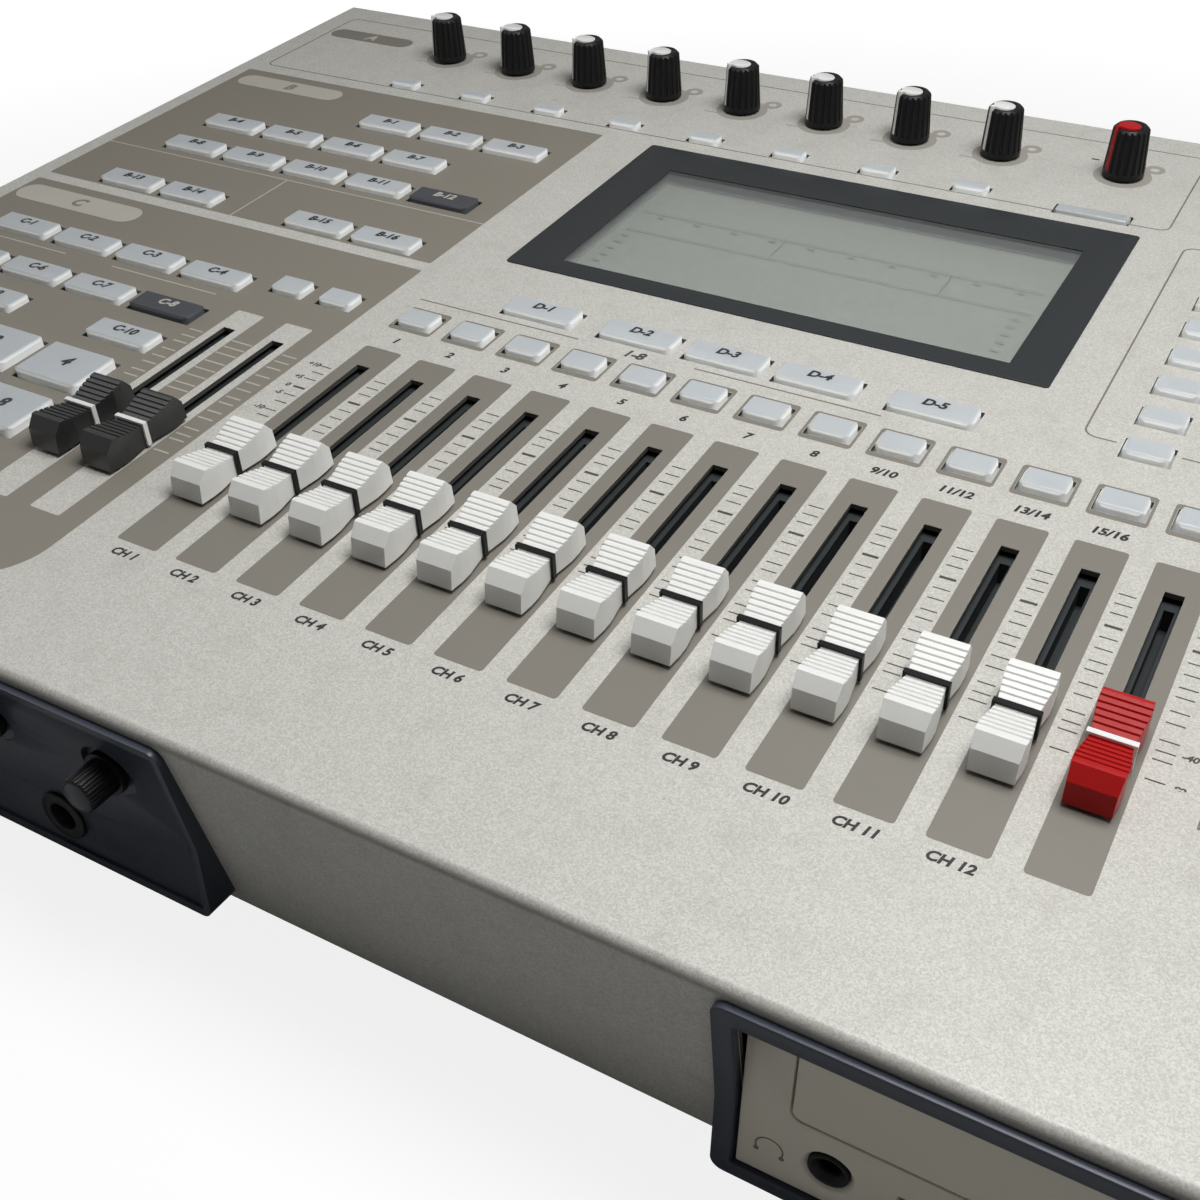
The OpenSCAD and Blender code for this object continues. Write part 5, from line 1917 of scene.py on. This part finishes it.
@dataclass
class FrontMouldings:
    """Black mouldings on the front flange and the disc drive inside the right one."""

    workshop: Workshop
    edge: float = 0.3
    edge_steps: int = 3
    sign_at: Point = (89.4, 20.6)
    sign_r: float = 2.4
    sign_w: float = 0.32
    sign_from: float = -20.0
    sign_sweep: float = 220.0
    sign_steps: int = 24
    ear_r: float = 0.5

    def build(self) -> None:
        """Builds the front."""
        made = self.workshop.finishes
        soften = self.workshop.soften
        for node in ("jack_bezel", "drive_frame"):
            soften(node, CASE, "gloss_black", self.edge, [made.gloss], steps=self.edge_steps)
        soften("front_jacks", CASE, "dark_plastic", self.edge, [made.dark])
        soften("drive_bezel", CASE, "cream_plastic", self.edge, [made.cream])
        for node in ("disc_tray", "eject_button", "volume_wheel"):
            soften(node, node, "cream_plastic", self.edge, [made.cream])
        self.sign()

    def sign(self) -> None:
        """A plain headphone sign left of the drive's small jack."""
        sheet = Sheet()
        points = []
        for step in range(self.sign_steps + 1):
            turn = math.radians(self.sign_from + self.sign_sweep * step / self.sign_steps)
            points.append((self.sign_r * math.cos(turn), self.sign_r * math.sin(turn)))
        sheet.strip(points, self.sign_w)
        for x, v in (points[0], points[-1]):
            sheet.plate(Outline.disc(self.ear_r, x, v - self.ear_r))
        low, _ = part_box("drive_bezel")
        x, z = self.sign_at
        place = Matrix.Translation((x * MM, low.y, z * MM))
        upright = Matrix.Rotation(math.pi / 2, 4, "X") @ Matrix.Scale(MM, 4)
        self.workshop.settle(
            "phones_sign", sheet, Ink.LINE, slot="cream_plastic", matrix=place @ upright
        )


@dataclass
class Case:
    """Folded cover, tray, rear panel with its sockets, inner pieces, screws and feet."""

    workshop: Workshop
    repeater: Repeater
    socket_edge: float = 0.25
    cross_l: float = 2.6
    cross_w: float = 0.6
    cross_h: float = 0.04
    side_reach: float = 230.0

    def build(self) -> None:
        """Dresses the case."""
        made = self.workshop.finishes
        dress = self.workshop.dress
        dress(made.silver, "top_cover")
        dress(made.black_metal, "base_tray", "rear_panel")
        dress(made.board, "main_board", "control_board")
        dress(made.alloy, "hard_disk", "drive_case", "knob_pots")
        dress(made.slide, "fader_bodies")
        dress(made.steel, "cover_screws")
        dress(made.rubber, "rubber_feet")
        bodies = {node: CASE for node in ("rear_jacks", "midi_sockets", "power_inlet")}
        bodies["power_switch"] = "power_switch"
        for node, body in bodies.items():
            self.workshop.soften(node, body, "dark_plastic", self.socket_edge, [made.dark])
        self.screw_crosses()

    def screw_crosses(self) -> None:
        """A black cross of painted shade on each screw head, where its recess would lie in shade,
        at both sides and the rear.
        """
        _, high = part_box("cover_screws")
        quarter = math.pi / 2
        places, turns = [], []
        for island in self.workshop.spots("cover_screws"):
            x, y, z = self.workshop.panel.matrix @ island.centre / MM
            side = math.copysign(1.0, x)
            if abs(x) > self.side_reach:
                places.append(Vector((side * high.x / MM, y, z)))
                turns.append(Vector((0.0, side * quarter, 0.0)))
            else:
                places.append(Vector((x, high.y / MM, z)))
                turns.append(Vector((-quarter, 0.0, 0.0)))
        arm, half = self.cross_l / 2, self.cross_w / 2
        corner = [(arm, -half), (arm, half), (half, half)]
        loop = []
        for step in range(4):
            turn = Matrix.Rotation(step * quarter, 2)
            loop += [tuple(turn @ Vector(point)) for point in corner]
        # Painted shade: a black cross stands for the shaded recess of a screw head
        sheet = Sheet(-self.cross_h, self.cross_h)
        sheet.plate(loop)
        mesh = self.repeater.copy(sheet, places, turns, Ink.BLACK)
        self.repeater.finish("screw_crosses", mesh, Matrix.Scale(MM, 4), "steel")


@dataclass(frozen=True)
class Lamp:
    """A square soft light that faces the recorder, in metres and watts."""

    name: str
    place: Place
    size: float
    power: float
    lights: bool = True

    def build(self) -> None:
        """Hangs the lamp; one that doesn't light matt surfaces only gleams on gloss."""
        data = bpy.data.lights.new(self.name, "AREA")
        data.shape = "SQUARE"
        data.size = self.size
        data.energy = self.power
        lamp = bpy.data.objects.new(self.name, data)
        lamp.location = self.place
        lamp.rotation_mode = "QUATERNION"
        lamp.rotation_quaternion = (-Vector(self.place)).to_track_quat("-Z", "Y")
        lamp.visible_diffuse = self.lights
        bpy.context.scene.collection.objects.link(lamp)


@dataclass
class Studio:
    """Pale floor, soft light and the camera at the photograph's angle."""

    panel: PanelFrame
    eye: Place = (134.3, -117.5, 182.3)
    azimuth: float = 31.13
    elevation: float = 39.80
    roll: float = -2.70
    lens: float = 43.995
    sensor: float = 36.0
    near: float = 0.01
    floor_size: float = 6.0
    floor_seen: Point = (0.56, 0.6)
    floor_lit: float = 0.52
    floor_cloud: float = 0.01
    floor_roughness: float = 0.9
    white: float = 1.22
    seen_share: float = 0.7
    shadow_reach: float = 430.0
    shadow_fade: float = 500.0
    sky: float = 0.07
    shine: float = 0.22
    lamps: tuple[Lamp, ...] = (
        Lamp("key_light", (0.14, -0.04, 0.55), 0.26, 2.7),
        Lamp("rear_fill", (1.1, 0.4, 0.45), 0.8, 2.0),
        Lamp("left_fill", (-1.2, 0.1, 0.4), 0.6, 1.8),
        Lamp("top_gleam", (-0.36, -0.12, 0.67), 0.4, 1.2, lights=False),
    )

    def build(self) -> None:
        """Builds camera, floor, world and lamps."""
        self.camera()
        self.floor()
        self.world()
        for lamp in self.lamps:
            lamp.build()

    def camera(self) -> None:
        """Places the camera as fitted to the photograph."""
        azimuth, elevation, roll = map(math.radians, (self.azimuth, self.elevation, self.roll))
        level = Vector((math.cos(azimuth), math.sin(azimuth), 0.0))
        ahead = Vector((
            -math.sin(azimuth) * math.cos(elevation),
            math.cos(azimuth) * math.cos(elevation),
            -math.sin(elevation),
        ))
        upright = level.cross(ahead)
        right = level * math.cos(roll) + upright * math.sin(roll)
        up = upright * math.cos(roll) - level * math.sin(roll)
        axes = Matrix((right, up, -ahead)).transposed()
        turn = self.panel.matrix.to_3x3().normalized() @ axes
        data = bpy.data.cameras.new("camera")
        data.sensor_width = self.sensor
        data.lens = self.lens
        data.clip_start = self.near
        camera = bpy.data.objects.new("camera", data)
        place = Matrix.Translation(self.panel.matrix @ Vector(self.eye))
        camera.matrix_world = place @ turn.to_4x4()
        bpy.context.scene.collection.objects.link(camera)
        bpy.context.scene.camera = camera

    @staticmethod
    def seen(graph: Graph) -> Wire:
        """One for rays that see the background straight or through glass.

        Args:
            graph: The material's or the world's graph.

        Returns:
            The mask.
        """
        path = graph.add("ShaderNodeLightPath")
        straight = Wire(graph, path.outputs["Is Camera Ray"])
        return straight.most(Wire(graph, path.outputs["Is Transmission Ray"]))

    def floor(self) -> None:
        """A pale floor that keeps a soft shadow and fades to white away from the recorder."""
        half = self.floor_size / 2
        square = [(-half, -half, 0.0), (half, -half, 0.0), (half, half, 0.0), (-half, half, 0.0)]
        mesh = bpy.data.meshes.new("floor")
        mesh.from_pydata(square, [], [(0, 1, 2, 3)])
        surface = Surface("floor_paper")
        at = surface.millimetres()
        seen = self.seen(surface)
        pale = surface.mix(*map(grey, self.floor_seen), surface.noise(at, self.floor_cloud))
        tone = surface.mix(grey(self.floor_lit), pale, seen)
        surface.shade(Base_Color=tone, Roughness=self.floor_roughness)
        x, y, _ = surface.parts(at)
        away = (x ** 2.0 + y ** 2.0) ** 0.5
        far = ((away - self.shadow_reach) / self.shadow_fade).clamped()
        share = far * (1 - self.seen_share) + self.seen_share
        light = {"Color": grey(1.0), "Strength": self.white}
        glow = surface.add("ShaderNodeEmission", None, light)
        sockets = {0: seen * share, 1: surface.shader.outputs[0], 2: glow.outputs[0]}
        blend = surface.add("ShaderNodeMixShader", None, sockets)
        output = surface.tree.nodes["Material Output"]
        surface.feed(output.inputs["Surface"], blend.outputs[0])
        mesh.materials.append(surface.material)
        Workshop.link("floor", mesh)

    def world(self) -> None:
        """White where it is seen, softer where it shines on gloss and softest where it lights."""
        world = bpy.data.worlds.new("studio")
        world.use_nodes = True
        bpy.context.scene.world = world
        graph = Graph(world.node_tree)
        back = world.node_tree.nodes["Background"]
        path = graph.add("ShaderNodeLightPath")
        shine = Wire(graph, path.outputs["Is Glossy Ray"]) * (self.shine - self.sky)
        strength = self.seen(graph) * (1 - self.sky) + shine + self.sky
        graph.feed(back.inputs["Color"], grey(1.0))
        graph.feed(back.inputs["Strength"], strength)


def main() -> None:
    """Builds every sub-assembly in order."""
    logging.basicConfig(level=logging.INFO, format="%(name)s: %(message)s")
    bpy.ops.wm.read_factory_settings(use_empty=True)
    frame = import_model()
    joint = next(item for item in frame["joints"] if item["name"] == "input_knob_8_turn")
    panel = PanelFrame.from_joint(joint, KNOB_ROW_V)
    finishes = Finishes(panel)
    workshop = Workshop(frame["nodes"], panel, finishes)
    repeater = Repeater(workshop)
    Studio(panel).build()
    Case(workshop, repeater).build()
    FaderBank(workshop, repeater).build()
    KnobBank(workshop, repeater).build()
    KeyField(workshop, repeater).build()
    PanelPrint(workshop).build()
    DisplayUnit(workshop).build()
    FrontMouldings(workshop).build()
    bpy.context.scene.view_settings.view_transform = "Standard"


if __name__ == "__main__":
    main()
